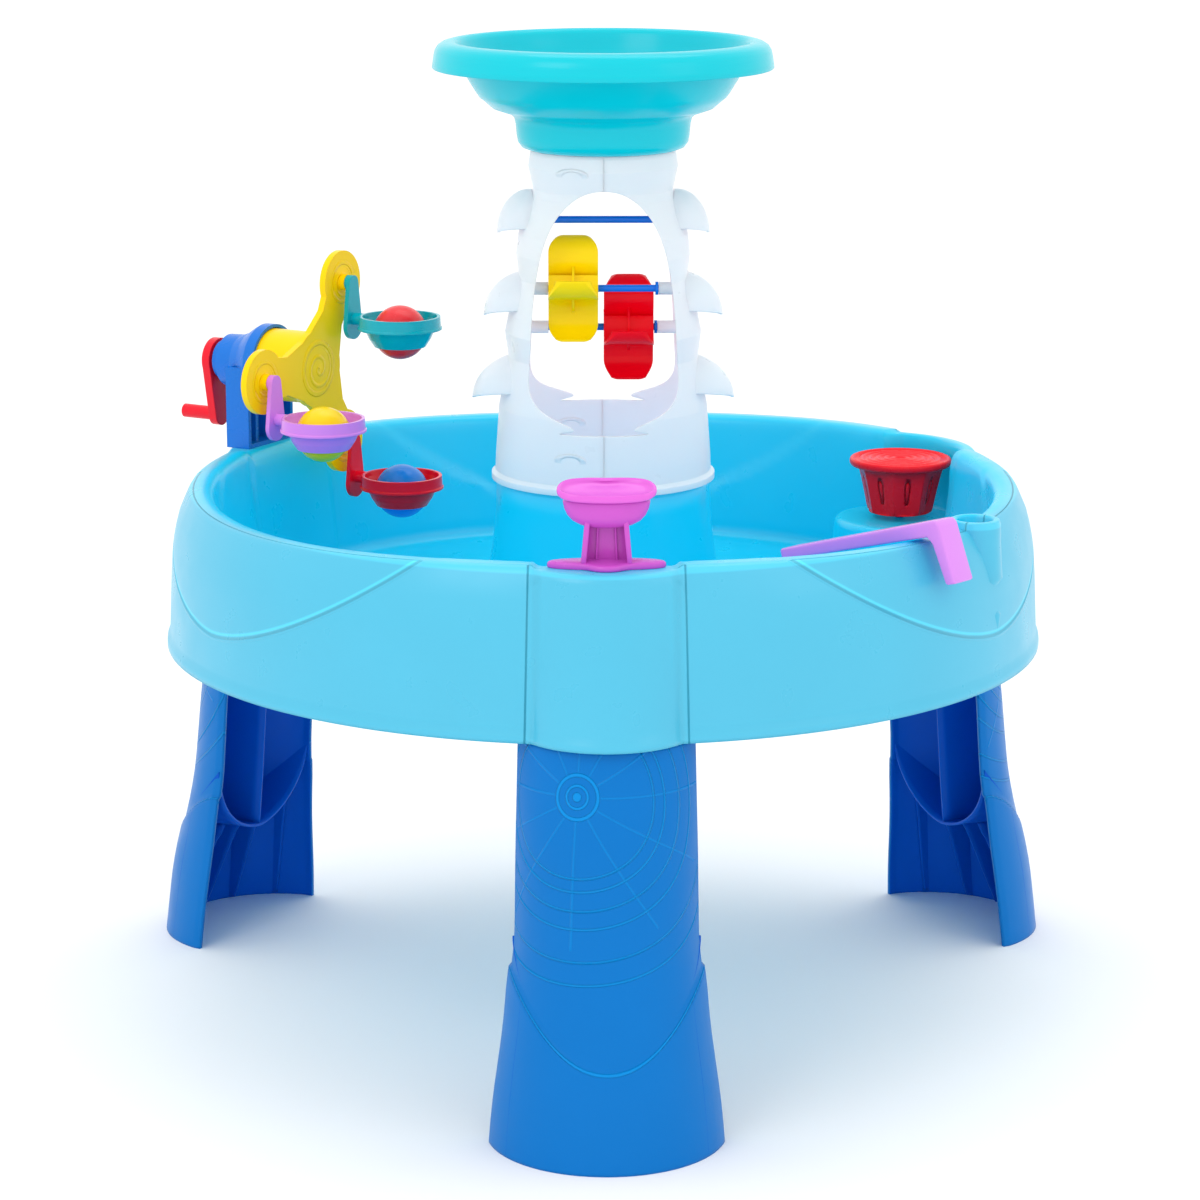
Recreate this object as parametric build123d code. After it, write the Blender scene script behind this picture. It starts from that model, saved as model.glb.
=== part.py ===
from build123d import *
from math import cos, radians, sin, sqrt
import os

# Sand and water table, millimetres, +Z up. Every piece is drawn about the tub's own axis and
# then moved by TUB_Y, so that the origin lies on the floor under the middle of the whole table.
# Three lobes and three legs stand at 120 degrees: one in front (towards -Y), two behind.
# Parts of a lobe are drawn in its own frame, X outwards and Y along the rim, then turned.

# --- driving dimensions -------------------------------------------------------
FRONT = -90
REAR_RIGHT = 30
REAR_LEFT = 150
SOCKET_AZIMUTH = -30
LEVER_AZIMUTH = -43

TUB_Y = 38.5                  # the tub's axis stands this far behind the origin
SKIN = 4.0                    # wall of the basin and the legs
RIM_Z = 455.0                 # top of the basin rim
SKIRT_Z = 322.0               # bottom edge of the skirt
FLOOR_Z = 341.0               # basin floor, upper face
RIM_INNER_R = 334.0
SKIRT_R = 371.5

LOBE_HALF_TOP = 58.0
LOBE_HALF_BOTTOM = 61.0
LOBE_OUT_TOP = 372.0
LOBE_OUT_BOTTOM = 397.5
LOBE_START = 343.0

BAY_HALF = 49.5               # open bay in the rear right lobe
BAY_OUT = 358.0
ISLAND_OUT = 309.5            # round platform under the spinner
ISLAND_R = 58.0
ISLAND_Z = 390.0

POST_R = 4.0
DRAIN_X = 210.0
DRAIN_R = 9.0

TOWER_BASE_Z = 459.0
TOWER_WALL = 2.6
FUNNEL_SEAT_Z = 738.5

AXLE_R = 3.0
WHEEL_R = 43.6
UPPER_AXLE = (-20.0, 623.5)   # Y and Z of the yellow wheel's axle
LOWER_AXLE = (20.0, 584.5)    # Y and Z of the red wheel's axle
TOP_ROD_Z = 679.0
RUN_FIT = 0.08                # radial clearance of every turning pair

CAROUSEL_Z = 527.5            # height of the crank's turning axis
PIVOT_RADIUS = 83.0           # cups hang this far from that axis
PIVOT_ANGLES = (120.0, 0.0, 240.0)
CUP_OUT = 231.0               # cup middle, from the table's axis
CUP_DROP = 26.0               # cup rim below its pivot
BALL_R = 24.0

SPINNER_R = 45.5
LAUNCHER_OUT = 341.0
LAUNCHER_PIN_Z = 511.0
TUB_R = 50.0                  # the crescent tub is a slice of this cylinder
TUB_CENTRE_Z = 536.0
LEVER_PIVOT_OUT = 345.0
LEVER_PIVOT_Z = 461.5
LEVER_SLOPE = 16.0            # the arm dips into the basin by this angle at rest

SCREW_OUT = 362.0             # leg screws, from the table's axis and either side of the leg
SCREW_SIDE = 28.0
BRACKET_SCREW_OUT = 355.0
BRACKET_SCREW_SIDE = 22.0


# --- small helpers ---------------------------------------------------------------
def turned(shape, azimuth):
    """Turns a shape drawn for azimuth 0 to the lobe at the given azimuth."""
    return shape.rotate(Axis.Z, azimuth)


def revolved(points):
    """Solid of revolution about Z from a closed outline of (radius, height) points."""
    wire = Polyline([(r, 0, z) for r, z in points], close=True)
    return revolve(make_face(wire), Axis.Z)


def revolved_x(points, z):
    """Solid of revolution about the X line at height z from (x, radius) points."""
    wire = Polyline([(x, 0, z + r) for x, r in points], close=True)
    return revolve(make_face(wire), Axis((0, 0, z), (1, 0, 0)))


def cylinder_z(x, y, low, high, radius):
    return Pos(x, y, (low + high) / 2) * Cylinder(radius, high - low)


def cylinder_x(low, high, y, z, radius):
    return Pos((low + high) / 2, y, z) * Rot(0, 90, 0) * Cylinder(radius, high - low)


def cylinder_y(x, low, high, z, radius):
    return Pos(x, (low + high) / 2, z) * Rot(90, 0, 0) * Cylinder(radius, high - low)


def block(low, high):
    """Box between two opposite corners."""
    size = [b - a for a, b in zip(low, high)]
    middle = [(a + b) / 2 for a, b in zip(low, high)]
    return Pos(*middle) * Box(*size)


def arc_plan(start, corner, half, nose, z):
    """Flat face at height z: straight sides from start to corner, then one arc out to nose."""
    outline = Line((start, -half, z), (corner, -half, z))
    outline += ThreePointArc((corner, -half, z), (nose, 0, z), (corner, half, z))
    outline += Line((corner, half, z), (start, half, z))
    outline += Line((start, half, z), (start, -half, z))
    return make_face(outline)


# --- basin -----------------------------------------------------------------------
def basin_section():
    """Half section of the tub: centre column, floor, inner wall, rim and outer skirt."""
    top = Line((0, 0, TOWER_BASE_Z), (90, 0, TOWER_BASE_Z))
    top += Line((90, 0, TOWER_BASE_Z), (91, 0, 420))
    top += Line((91, 0, 420), (106, 0, FLOOR_Z))
    top += Line((106, 0, FLOOR_Z), (312, 0, FLOOR_Z))
    top += Line((312, 0, FLOOR_Z), (318, 0, 346))
    top += Line((318, 0, 346), (332, 0, 449))
    top += ThreePointArc((332, 0, 449), (334.5, 0, 453.5), (339, 0, RIM_Z))
    top += Line((339, 0, RIM_Z), (345, 0, RIM_Z))
    shoulder = ((345, 0, RIM_Z), (353, 0, 450.5), (361.5, 0, 434), (367.5, 0, 405), (SKIRT_R, 0, 330))
    top += Spline(*shoulder, tangents=((1, 0, 0), (0.03, 0, -1)))
    top += Line((SKIRT_R, 0, 330), (374, 0, 326))
    top += Line((374, 0, 326), (374, 0, SKIRT_Z))
    top += Line((374, 0, SKIRT_Z), (368, 0, SKIRT_Z))
    top += Line((368, 0, SKIRT_Z), (367.5, 0, 330))
    top += Spline((367.5, 0, 330), (363.5, 0, 404), (357.5, 0, 432), (350, 0, 446.5), (345, 0, RIM_Z - SKIN))
    top += Line((345, 0, RIM_Z - SKIN), (339.5, 0, RIM_Z - SKIN))
    top += Line((339.5, 0, RIM_Z - SKIN), (336, 0, 448))
    top += Line((336, 0, 448), (321.8, 0, 344))
    top += Line((321.8, 0, 344), (313, 0, FLOOR_Z - SKIN))
    top += Line((313, 0, FLOOR_Z - SKIN), (103, 0, FLOOR_Z - SKIN))
    top += Line((103, 0, FLOOR_Z - SKIN), (87, 0, 420))
    top += Line((87, 0, 420), (86, 0, TOWER_BASE_Z - SKIN))
    top += Line((86, 0, TOWER_BASE_Z - SKIN), (0, 0, TOWER_BASE_Z - SKIN))
    top += Line((0, 0, TOWER_BASE_Z - SKIN), (0, 0, TOWER_BASE_Z))
    return revolve(make_face(top), Axis.Z)


def lobe_body(inset, low, high):
    """Bulge of the skirt over a leg, or its inside when inset by the wall."""
    half_low = LOBE_HALF_BOTTOM - inset
    half_high = LOBE_HALF_TOP - inset
    bottom = arc_plan(LOBE_START, 362 - inset, half_low, LOBE_OUT_BOTTOM - inset, low)
    top = arc_plan(LOBE_START, 351 - inset, half_high, LOBE_OUT_TOP - inset, high)
    return loft([bottom, top])


def basin_inside():
    """The hollow of the tub above the floor, used to keep other walls out of it."""
    wall = [(312, FLOOR_Z), (318, 346), (332, 449), (RIM_INNER_R, RIM_Z), (RIM_INNER_R, 500)]
    return revolved([(0, FLOOR_Z)] + wall + [(0, 500)])


def bay_plan(extra, low, high):
    """Upright block of the bay in the rear right lobe."""
    face = arc_plan(300, 340 + extra, BAY_HALF + extra, BAY_OUT + extra, low)
    return extrude(face, high - low, dir=(0, 0, 1))


def add_bay(basin):
    """Open bay in the rear right lobe with the round platform that carries the spinner."""
    bay = bay_plan(0, ISLAND_Z, 500)
    lining = bay_plan(SKIN, ISLAND_Z - SKIN, RIM_Z) - bay
    lining = lining - basin_inside().cut(block((-400, -400, RIM_Z - 0.01), (400, 400, 501)))
    deck = bay_plan(SKIN, ISLAND_Z - SKIN, ISLAND_Z)
    island = Pos(ISLAND_OUT, 0, (ISLAND_Z + FLOOR_Z) / 2) * Cone(ISLAND_R + 3, ISLAND_R, ISLAND_Z - FLOOR_Z)
    hollow = cylinder_z(ISLAND_OUT, 0, FLOOR_Z - SKIN, ISLAND_Z - SKIN, ISLAND_R - SKIN)
    basin = basin - turned(bay, REAR_RIGHT)
    basin = basin + turned(lining + deck + island, REAR_RIGHT)
    post_hole = cylinder_z(ISLAND_OUT, 0, 380, 400, POST_R)
    return basin - turned(hollow, REAR_RIGHT) - turned(bay, REAR_RIGHT) - turned(post_hole, REAR_RIGHT)


def lobe_bosses(azimuth):
    """Columns under the shelf of a lobe that the leg's screws bite into."""
    ceiling = ISLAND_Z - SKIN / 2 if azimuth == REAR_RIGHT else RIM_Z - SKIN / 2
    pair = cylinder_z(SCREW_OUT, -SCREW_SIDE, SKIRT_Z, ceiling, 6)
    pair += cylinder_z(SCREW_OUT, SCREW_SIDE, SKIRT_Z, ceiling, 6)
    return turned(pair, azimuth)


def make_basin():
    basin = basin_section()
    outside = lobe_body(0, SKIRT_Z, RIM_Z)
    inside = lobe_body(SKIN, SKIRT_Z - 1, RIM_Z - SKIN)
    lobe_skin = outside - inside
    for azimuth in (FRONT, REAR_RIGHT, REAR_LEFT):
        basin = basin - turned(inside, azimuth) + turned(lobe_skin, azimuth)
    basin = add_bay(basin)

    socket = cylinder_z(347, 0, 384, 457, 21)
    mouth = cylinder_z(347, 0, 389, 460, 14.5)
    basin = basin + turned(socket, SOCKET_AZIMUTH) - turned(mouth, SOCKET_AZIMUTH)
    basin = basin + turned(lever_ears(), LEVER_AZIMUTH)

    for azimuth in (FRONT, REAR_RIGHT, REAR_LEFT):
        basin = basin + lobe_bosses(azimuth)
        for side in (-SCREW_SIDE, SCREW_SIDE):
            basin = basin - turned(cylinder_z(SCREW_OUT, side, 320, 346, 2), azimuth)
    for side in (-BRACKET_SCREW_SIDE, BRACKET_SCREW_SIDE):
        basin = basin - turned(cylinder_z(BRACKET_SCREW_OUT, side, 440, 470, 2), REAR_LEFT)
    drain = cylinder_z(DRAIN_X, 0, 330, 350, DRAIN_R)
    return basin - drain


def lever_ears():
    """Two small lugs on the rim that hold the flip lever's pin inside its trough."""
    pair = []
    for side in (-5, 5):
        ear = block((LEVER_PIVOT_OUT - 3, side - 1.5, 452), (LEVER_PIVOT_OUT + 3, side + 1.5, LEVER_PIVOT_Z))
        ear += cylinder_y(LEVER_PIVOT_OUT, side - 1.5, side + 1.5, LEVER_PIVOT_Z, 3)
        pair.append(ear - cylinder_y(LEVER_PIVOT_OUT, side - 3, side + 3, LEVER_PIVOT_Z, 1.5))
    return pair[0] + pair[1]


def make_drain_plug():
    """Flanged plug with a pull knob, in the drain hole of the floor."""
    plug = cylinder_z(DRAIN_X, 0, 333, FLOOR_Z + 0.2, DRAIN_R - RUN_FIT)
    plug += cylinder_z(DRAIN_X, 0, FLOOR_Z + 0.2, FLOOR_Z + 3.2, 13)
    plug += cylinder_z(DRAIN_X, 0, FLOOR_Z + 3.2, FLOOR_Z + 9, 4)
    return plug


# --- legs ------------------------------------------------------------------------
LEG_SECTIONS = (
    # height, half width, edge and nose distance from the table's axis
    (0.0, 93.0, 376.0, 451.0),
    (66.0, 86.0, 371.0, 443.0),
    (137.0, 76.0, 364.0, 424.0),
    (236.0, 71.0, 356.0, 409.0),
    (SKIRT_Z, 69.0, 349.0, 391.0),
)


def make_leg(azimuth):
    """Flared C-shaped shell, open towards the middle, with ribs, a shelf and a collar on top."""
    outer = []
    inner = []
    for z, half, edge, nose in LEG_SECTIONS:
        outer.append(arc_plan(edge - 6, edge, half, nose, z))
        inner.append(arc_plan(edge - 8, edge, half - SKIN, nose - SKIN, z))
    outside = loft(outer)
    stiffening = block((340, -80, SKIRT_Z - 3), (470, 80, SKIRT_Z))
    stiffening += block((352, -80, 176), (470, 80, 179))
    for side in (-38, 0, 38):
        stiffening += block((366, side - 1.5, 0), (470, side + 1.5, 177))
    collar = arc_plan(346, 354, 50, 383, SKIRT_Z - 1)
    collar_hollow = arc_plan(349, 351, 47, 379, SKIRT_Z - 1)
    leg = outside - loft(inner) + (stiffening & outside)
    leg += extrude(collar, 19, dir=(0, 0, 1)) - extrude(collar_hollow, 19, dir=(0, 0, 1))
    for side in (-SCREW_SIDE, SCREW_SIDE):
        leg -= cylinder_z(SCREW_OUT, side, 310, 330, 2.1)
    return turned(leg, azimuth)


def make_leg_screws():
    """Two screws hold each leg's top plate to the bosses inside its lobe."""
    screws = []
    for azimuth in (FRONT, REAR_RIGHT, REAR_LEFT):
        for side in (-SCREW_SIDE, SCREW_SIDE):
            shank = cylinder_z(SCREW_OUT, side, SKIRT_Z - 3, 342, 1.98)
            head = cylinder_z(SCREW_OUT, side, SKIRT_Z - 6, SKIRT_Z - 3, 4.2)
            screws.append(turned(shank + head, azimuth))
    return screws


# --- tower -----------------------------------------------------------------------
TOWER_OUTLINE = (
    (95.2, TOWER_BASE_Z), (95.2, 464), (92, 467), (91.5, 480), (88.6, 521), (84, 545),
    (80.5, 564), (83.1, 585), (80, 600), (71, 630), (73.4, 651), (71.5, 668), (60, 699),
    (59, 706), (63, 725), (61, FUNNEL_SEAT_Z),
)
HOODS = ((668.0, 699.0, 89.8), (598.0, 630.0, 101.3), (527.2, 560.5, 111.4))
HOOD_SLIMNESS = 0.62          # half width of a hood over its reach
HOOD_SWEEP = 14.0             # its lower edge climbs by this angle to the front and to the back


def below_hood():
    """Everything under the swept lower edge of a hood that starts at height 0."""
    under = block((-200, -60, -100), (200, 60, 0))
    under += Rot(HOOD_SWEEP, 0, 0) * block((-200, 0, -100), (200, 200, 0))
    under += Rot(-HOOD_SWEEP, 0, 0) * block((-200, -200, -100), (200, 0, 0))
    return under


def opening_plan():
    """Pear-shaped window through the front and back of the tower."""
    left = [(0, 709.5), (-22, 703), (-40.2, 684), (-54.9, 642), (-60.3, 593)]
    left += [(-62, 560), (-50.5, 526), (-26, 513), (0, 509.5)]
    half = Spline([(x, 0, z) for x, z in left], tangents=((-1, 0, 0), (1, 0, 0)))
    other = mirror(half, Plane.YZ)
    return make_face(half + other)


def make_tower():
    """Waisted shell with a window front and back, three scoop hoods on each side and axle bosses."""
    inner = [(r - TOWER_WALL, z) for r, z in TOWER_OUTLINE]
    shell = revolved(list(TOWER_OUTLINE) + inner[::-1])
    window = extrude(opening_plan(), 120, both=True)
    shell = shell - window
    core = revolved([(0, 430), (60, 430), (60, 760), (0, 760)])
    body = revolved([(0, TOWER_BASE_Z)] + list(TOWER_OUTLINE) + [(0, FUNNEL_SEAT_Z)])
    for low, high, reach in HOODS:
        tall = high - low + 6
        out = reach - 62
        for side in (-1, 1):
            half = out * HOOD_SLIMNESS + 8
            dome = Pos(side * 62, 0, low) * scale(Sphere(1), (out, half, tall))
            cut = Pos(side * 62, 0, low) * scale(Sphere(1), (out - 2.4, half - 2.4, tall - 2.4))
            hood = dome - cut - Pos(0, 0, low) * below_hood()
            shell = shell + (hood - core - body)
    ledge = cylinder_z(0, 0, FUNNEL_SEAT_Z - 3, FUNNEL_SEAT_Z, 60.9)
    shell = shell + (ledge - cylinder_z(0, 0, 700, 760, 54.6))
    hollow = revolved([(0, TOWER_BASE_Z)] + inner + [(0, FUNNEL_SEAT_Z)])
    for y, z in (UPPER_AXLE, LOWER_AXLE, (0.0, TOP_ROD_Z)):
        reach = 46.5 if z < TOP_ROD_Z else 52
        bosses = cylinder_x(-85, -reach, y, z, 5.4) + cylinder_x(reach, 85, y, z, 5.4)
        shell = shell + (bosses & hollow)
        shell = shell - cylinder_x(-reach - 9, reach + 9, y, z, AXLE_R)
    return shell


def tower_half(tower, low, high):
    """One of the two mirrored shells, parted on the plane X = 0."""
    return tower & block((low, -200, 400), (high, 200, 800))


def make_axle(y, z, reach, flange):
    axle = cylinder_x(-reach, reach, y, z, AXLE_R)
    if flange:
        axle += cylinder_x(43.8, 46.2, y, z, 5.6)
    return axle


# --- funnel ----------------------------------------------------------------------
def make_funnel():
    """Wide bowl with a folded skirt, a collar that sits on the tower and a drip plate."""
    outline = [
        (121.4, 825.6), (123.5, 828.2), (127, 829.2), (134, 828), (139.5, 824), (141.5, 818),
        (143, 806.4), (140.6, 806.4), (138.8, 817), (136, 822.5), (130, 825.6), (125.5, 825),
        (122.5, 817), (113, 797), (102.5, 781), (93, 773.5), (78, 768.5), (74.5, 765), (73, 755),
        (72, 746), (68.5, 740.5), (63, FUNNEL_SEAT_Z), (7, FUNNEL_SEAT_Z), (7, 741.5), (60, 742.5),
        (66, 744.5), (69, 748), (70, 756), (71.5, 768), (76, 771.5), (91, 776.5), (100, 783.5),
        (110, 798.5), (119.5, 818),
    ]
    funnel = revolved(outline)
    funnel += revolved([(54, 731), (54, FUNNEL_SEAT_Z + 1), (51.5, FUNNEL_SEAT_Z + 1), (51.5, 731)])
    for k in range(6):
        angle = radians(60 * k)
        funnel -= cylinder_z(28 * cos(angle), 28 * sin(angle), 735, 746, 3.5)
    return funnel


# --- water wheels ----------------------------------------------------------------
def make_wheel(left, right, y, z, phase):
    """Scoop wheel: hub, middle web and four curved paddles with rounded corners."""
    middle = (left + right) / 2
    wheel = cylinder_x(left, right, 0, 0, 5.5)
    wheel += cylinder_x(middle - 1, middle + 1, 0, 0, 20)
    outline = RectangleRounded(right - left, 2 * WHEEL_R, 13)
    outline = Pos(middle, 0, 0) * Rot(90, 0, 0) * extrude(outline, 30, both=True)
    scoop = cylinder_x(left, right, 14, 24, 19.8) - cylinder_x(left - 1, right + 1, 14, 24, 17.8)
    scoop = scoop & block((left, -7, 4), (right, 12, WHEEL_R)) & outline
    for k in range(4):
        wheel += scoop.rotate(Axis.X, 90 * k + phase)
    wheel -= cylinder_x(left - 1, right + 1, 0, 0, AXLE_R + RUN_FIT)
    return Pos(0, y, z) * wheel


# --- crank and hanging cups ------------------------------------------------------
def make_bracket():
    """Bearing housing with a stepped nose on a foot that stands on the rear left lobe."""
    body = revolved_x([(394, 0), (394, 17.3), (388, 17.3), (386, 23.5), (371, 24), (362, 27), (353, 33),
                       (348, 35.8), (338, 35.8), (338, 0)], CAROUSEL_Z)
    foot = block((343, -35, RIM_Z), (367, 35, CAROUSEL_Z)) - block((330, -31, RIM_Z + 4), (363, 31, 600))
    web = block((350, -14, RIM_Z), (367, 14, CAROUSEL_Z - 20)) - block((300, -10, RIM_Z + 4), (363, 10, 600))
    plate = block((343, -35, RIM_Z), (367, 35, RIM_Z + 4))
    bracket = body + foot + web + plate
    bracket -= revolved_x([(337, 0), (337, 33), (346, 33), (346, 0)], CAROUSEL_Z)
    bracket -= cylinder_x(330, 400, 0, CAROUSEL_Z, 7 + RUN_FIT)
    for side in (-BRACKET_SCREW_SIDE, BRACKET_SCREW_SIDE):
        bracket -= cylinder_z(BRACKET_SCREW_OUT, side, 440, 470, 2.1)
    return turned(bracket, REAR_LEFT)


def make_bracket_screws():
    screws = []
    for side in (-BRACKET_SCREW_SIDE, BRACKET_SCREW_SIDE):
        shank = cylinder_z(BRACKET_SCREW_OUT, side, RIM_Z - 7, RIM_Z + 4, 1.98)
        head = cylinder_z(BRACKET_SCREW_OUT, side, RIM_Z + 4, RIM_Z + 6.5, 4.2)
        screws.append(turned(shank + head, REAR_LEFT))
    return screws


def pivot_point(angle):
    """Y and Z of a cup's pivot in the lobe's frame."""
    a = radians(angle)
    return PIVOT_RADIUS * cos(a), CAROUSEL_Z + PIVOT_RADIUS * sin(a)


def arm_plan():
    """Three arms with round ends, joined by arcs."""
    plan = Circle(35)
    for angle in PIVOT_ANGLES:
        a = radians(angle)
        end = Pos(PIVOT_RADIUS * cos(a), PIVOT_RADIUS * sin(a)) * Circle(28.3)
        lower = [(0, -33), (24, -26), (48, -17), (72, -19)]
        arm = Polygon(*lower, *[(x, -y) for x, y in lower[::-1]], align=None)
        plan += end + Rot(0, 0, angle) * arm
    return plan


def make_spider():
    """Drum, three-armed plate and the bosses that carry the cups."""
    plate = extrude(arm_plan(), 6)
    # the plan's X and Y become Y and Z of the lobe's frame, and its thickness points outwards
    plate = Pos(291, 0, CAROUSEL_Z) * Rot(0, 0, 90) * Rot(90, 0, 0) * plate
    face = [(289.5, 0), (290.5, 20), (291.5, 34), (297, 34), (299, 32)]
    drum = revolved_x(face + [(345.5, 32), (345.5, 0)], CAROUSEL_Z)
    spider = plate + drum
    spider -= revolved_x([(300, 12), (300, 29), (346, 29), (346, 12)], CAROUSEL_Z)
    spider += cylinder_x(290, 404, 0, CAROUSEL_Z, 7)
    for angle in PIVOT_ANGLES:
        y, z = pivot_point(angle)
        spider += cylinder_x(285.4, 292, y, z, 7.2)
        spider += cylinder_x(279.5, 286, y, z, 3.0)
    return turned(spider, REAR_LEFT)


def make_crank():
    """Flanged crank arm and its grip, pushed on the end of the drum's shaft."""
    hub = cylinder_x(396, 404, 0, CAROUSEL_Z, 19)
    tip = cylinder_x(396, 404, 0, CAROUSEL_Z - 50.7, 10)
    web = Polygon((0, 19), (-50.7, 10), (-50.7, -10), (0, -19), align=None)
    web = Pos(396, 0, CAROUSEL_Z) * Rot(0, 90, 0) * Rot(0, 0, 180) * extrude(web, 8)
    arm = hub + tip + web
    crank = arm + cylinder_x(404, 437, 0, CAROUSEL_Z - 50.7, 6.2)
    crank = crank + cylinder_x(404, 407, 0, CAROUSEL_Z, 10)
    crank -= cylinder_x(390, 404, 0, CAROUSEL_Z, 7.0)
    return turned(crank, REAR_LEFT)


def make_cup(angle):
    """Ring and open bowl on a teardrop plate that hangs from its pivot."""
    y, z = pivot_point(angle)
    top = z - CUP_DROP
    outer = [(33.3, 0), (36, 0), (36.6, -9), (37.5, -10), (37.5, -11.5), (31.8, -11.5), (30, -14.5)]
    inner = [(27.6, -20), (23, -27), (20.8, -27), (25.6, -20), (29, -12.5), (32.4, -4)]
    profile = outer + inner
    ring = revolve(make_face(Polyline([(r, 0, h) for r, h in profile], close=True)), Axis.Z)
    cup = Pos(CUP_OUT, y, top) * ring
    low = cylinder_x(279, 283, y, z - 38, 12.5)
    high = cylinder_x(279, 285, y, z, 7)
    web = Polygon((0, 7), (-34, 12), (-34, -12), (0, -7), align=None)
    web = Pos(279, y, z) * Rot(0, 90, 0) * Rot(0, 0, 180) * extrude(web, 4)
    neck = cylinder_x(CUP_OUT + 33.5, 281, y, z - 32, 5.4)
    cup += low + high + web + neck
    cup -= cylinder_x(279.4, 286, y, z, 3.0 + RUN_FIT)
    return turned(cup, REAR_LEFT)


def make_ball(angle):
    y, z = pivot_point(angle)
    ball = Pos(CUP_OUT, y, z - CUP_DROP - 27 + 12.5) * Sphere(BALL_R)
    return turned(ball, REAR_LEFT)


# --- launcher on the front lobe --------------------------------------------------
def make_launcher_base():
    """Winged foot, ribbed column open to the outside, and a crescent tub on top."""
    out = LAUNCHER_OUT
    foot = RIM_Z + 0.1
    base = block((out - 13, -30, foot), (out + 14, 30, foot + 4))
    for side in (-30, 30):
        base += Pos(out, side, foot + 2) * scale(Cylinder(1, 4), (14, 17, 1))
    column = block((out - 8, -17.5, foot), (out + 8, 17.5, 492))
    base += column - block((out - 5, -14.5, foot + 4), (out + 9, 14.5, 500))
    for side in (-5.5, 5.5):
        base += block((out - 8, side - 1, foot), (out + 5, side + 1, 492))
    tub = cylinder_x(out - 16, out + 12, 0, TUB_CENTRE_Z, TUB_R)
    base += tub & block((out - 20, -60, 480), (out + 20, 60, 508))
    base -= cylinder_x(out - 13, out + 9, 0, TUB_CENTRE_Z, TUB_R - 3)
    for side in (-24.5, 24.5):
        base += block((out - 20, side - 2, 498), (out - 14.6, side + 2, 514))
    base -= cylinder_y(out - 17, -40, 40, LAUNCHER_PIN_Z, 1.5)
    return turned(base, FRONT)


def make_launcher_tray():
    """Shallow flap that lies on the tub and flips towards the basin."""
    out = LAUNCHER_OUT
    hinge = out - 17
    plan = arc_plan(out - 13, out - 11, 38, out + 17, 508.4)
    hollow = arc_plan(out - 14, out - 12, 35.5, out + 14.5, 510.6)
    tray = extrude(plan, 6, dir=(0, 0, 1)) - extrude(hollow, 6, dir=(0, 0, 1))
    tray += block((out - 15, -21, 508.4), (out - 12.6, 21, 518))
    tray += cylinder_y(hinge, -21.5, 21.5, LAUNCHER_PIN_Z, 3)
    tray += block((hinge, -21.5, LAUNCHER_PIN_Z - 1.4), (out - 12, 21.5, LAUNCHER_PIN_Z + 1.4))
    tray -= cylinder_y(hinge, -40, 40, LAUNCHER_PIN_Z, 1.5 + RUN_FIT)
    return turned(tray, FRONT)


def make_launcher_pin():
    pin = cylinder_y(LAUNCHER_OUT - 17, -26.5, 26.5, LAUNCHER_PIN_Z, 1.5)
    return turned(pin, FRONT)


# --- flip lever ------------------------------------------------------------------
def make_flip_lever():
    """L-shaped trough: long arm into the basin, short leaning tab outside, tilted about the rim."""
    side = Polyline((-142, 6), (24, 6), (31, -46), (21, -46), (12, -5), (-6, -3), (-142, -4.5), close=True)
    body = extrude(make_face(Plane.XZ * side), 12, both=True)
    hollow = Polyline((-139.5, 3.6), (21.5, 3.6), (30, -60), (10, -60), (5, -12), (-139.5, -12), close=True)
    body -= extrude(make_face(Plane.XZ * hollow), 9.6, both=True)
    for low, high in ((-12, -9.6), (9.6, 12)):
        body += cylinder_y(0, low, high, 0, 4.2)
    body -= cylinder_y(0, -20, 20, 0, 1.5 + RUN_FIT)
    body = body.rotate(Axis.Y, -LEVER_SLOPE)
    return turned(Pos(LEVER_PIVOT_OUT, 0, LEVER_PIVOT_Z) * body, LEVER_AZIMUTH)


def make_lever_pin():
    pin = cylinder_y(LEVER_PIVOT_OUT, -11.8, 11.8, LEVER_PIVOT_Z, 1.5)
    return turned(pin, LEVER_AZIMUTH)


# --- spinner in the bay ----------------------------------------------------------
def make_spinner():
    """Ridged disc over a fluted cone, free to spin on its post."""
    spinner = revolved([(0, 439), (SPINNER_R - 2, 439), (SPINNER_R, 441), (SPINNER_R - 2, 444), (0, 444)])
    for ring in range(6):
        radius = 6 + 6 * ring
        spinner += revolved([(radius, 443.5), (radius + 2, 443.5), (radius + 1.6, 445), (radius + 0.4, 445)])
    cone = revolved([(24, 398), (30, 398), (39.5, 439.5), (32, 439.5)])
    for k in range(8):
        angle = radians(45 * k)
        cone -= Pos(43 * cos(angle), 43 * sin(angle), 415) * Cylinder(11, 47)
    spinner += cone + cylinder_z(0, 0, 394, 440, 6.5)
    spinner -= cylinder_z(0, 0, 390, 436, POST_R + RUN_FIT)
    return turned(Pos(ISLAND_OUT, 0, 0) * spinner, REAR_RIGHT)


def make_spinner_post():
    """Upright pin through the platform, with a flange under its deck."""
    post = cylinder_z(ISLAND_OUT, 0, 382, 435, POST_R) + cylinder_z(ISLAND_OUT, 0, 380, 386, 7)
    return turned(post, REAR_RIGHT)


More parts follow.
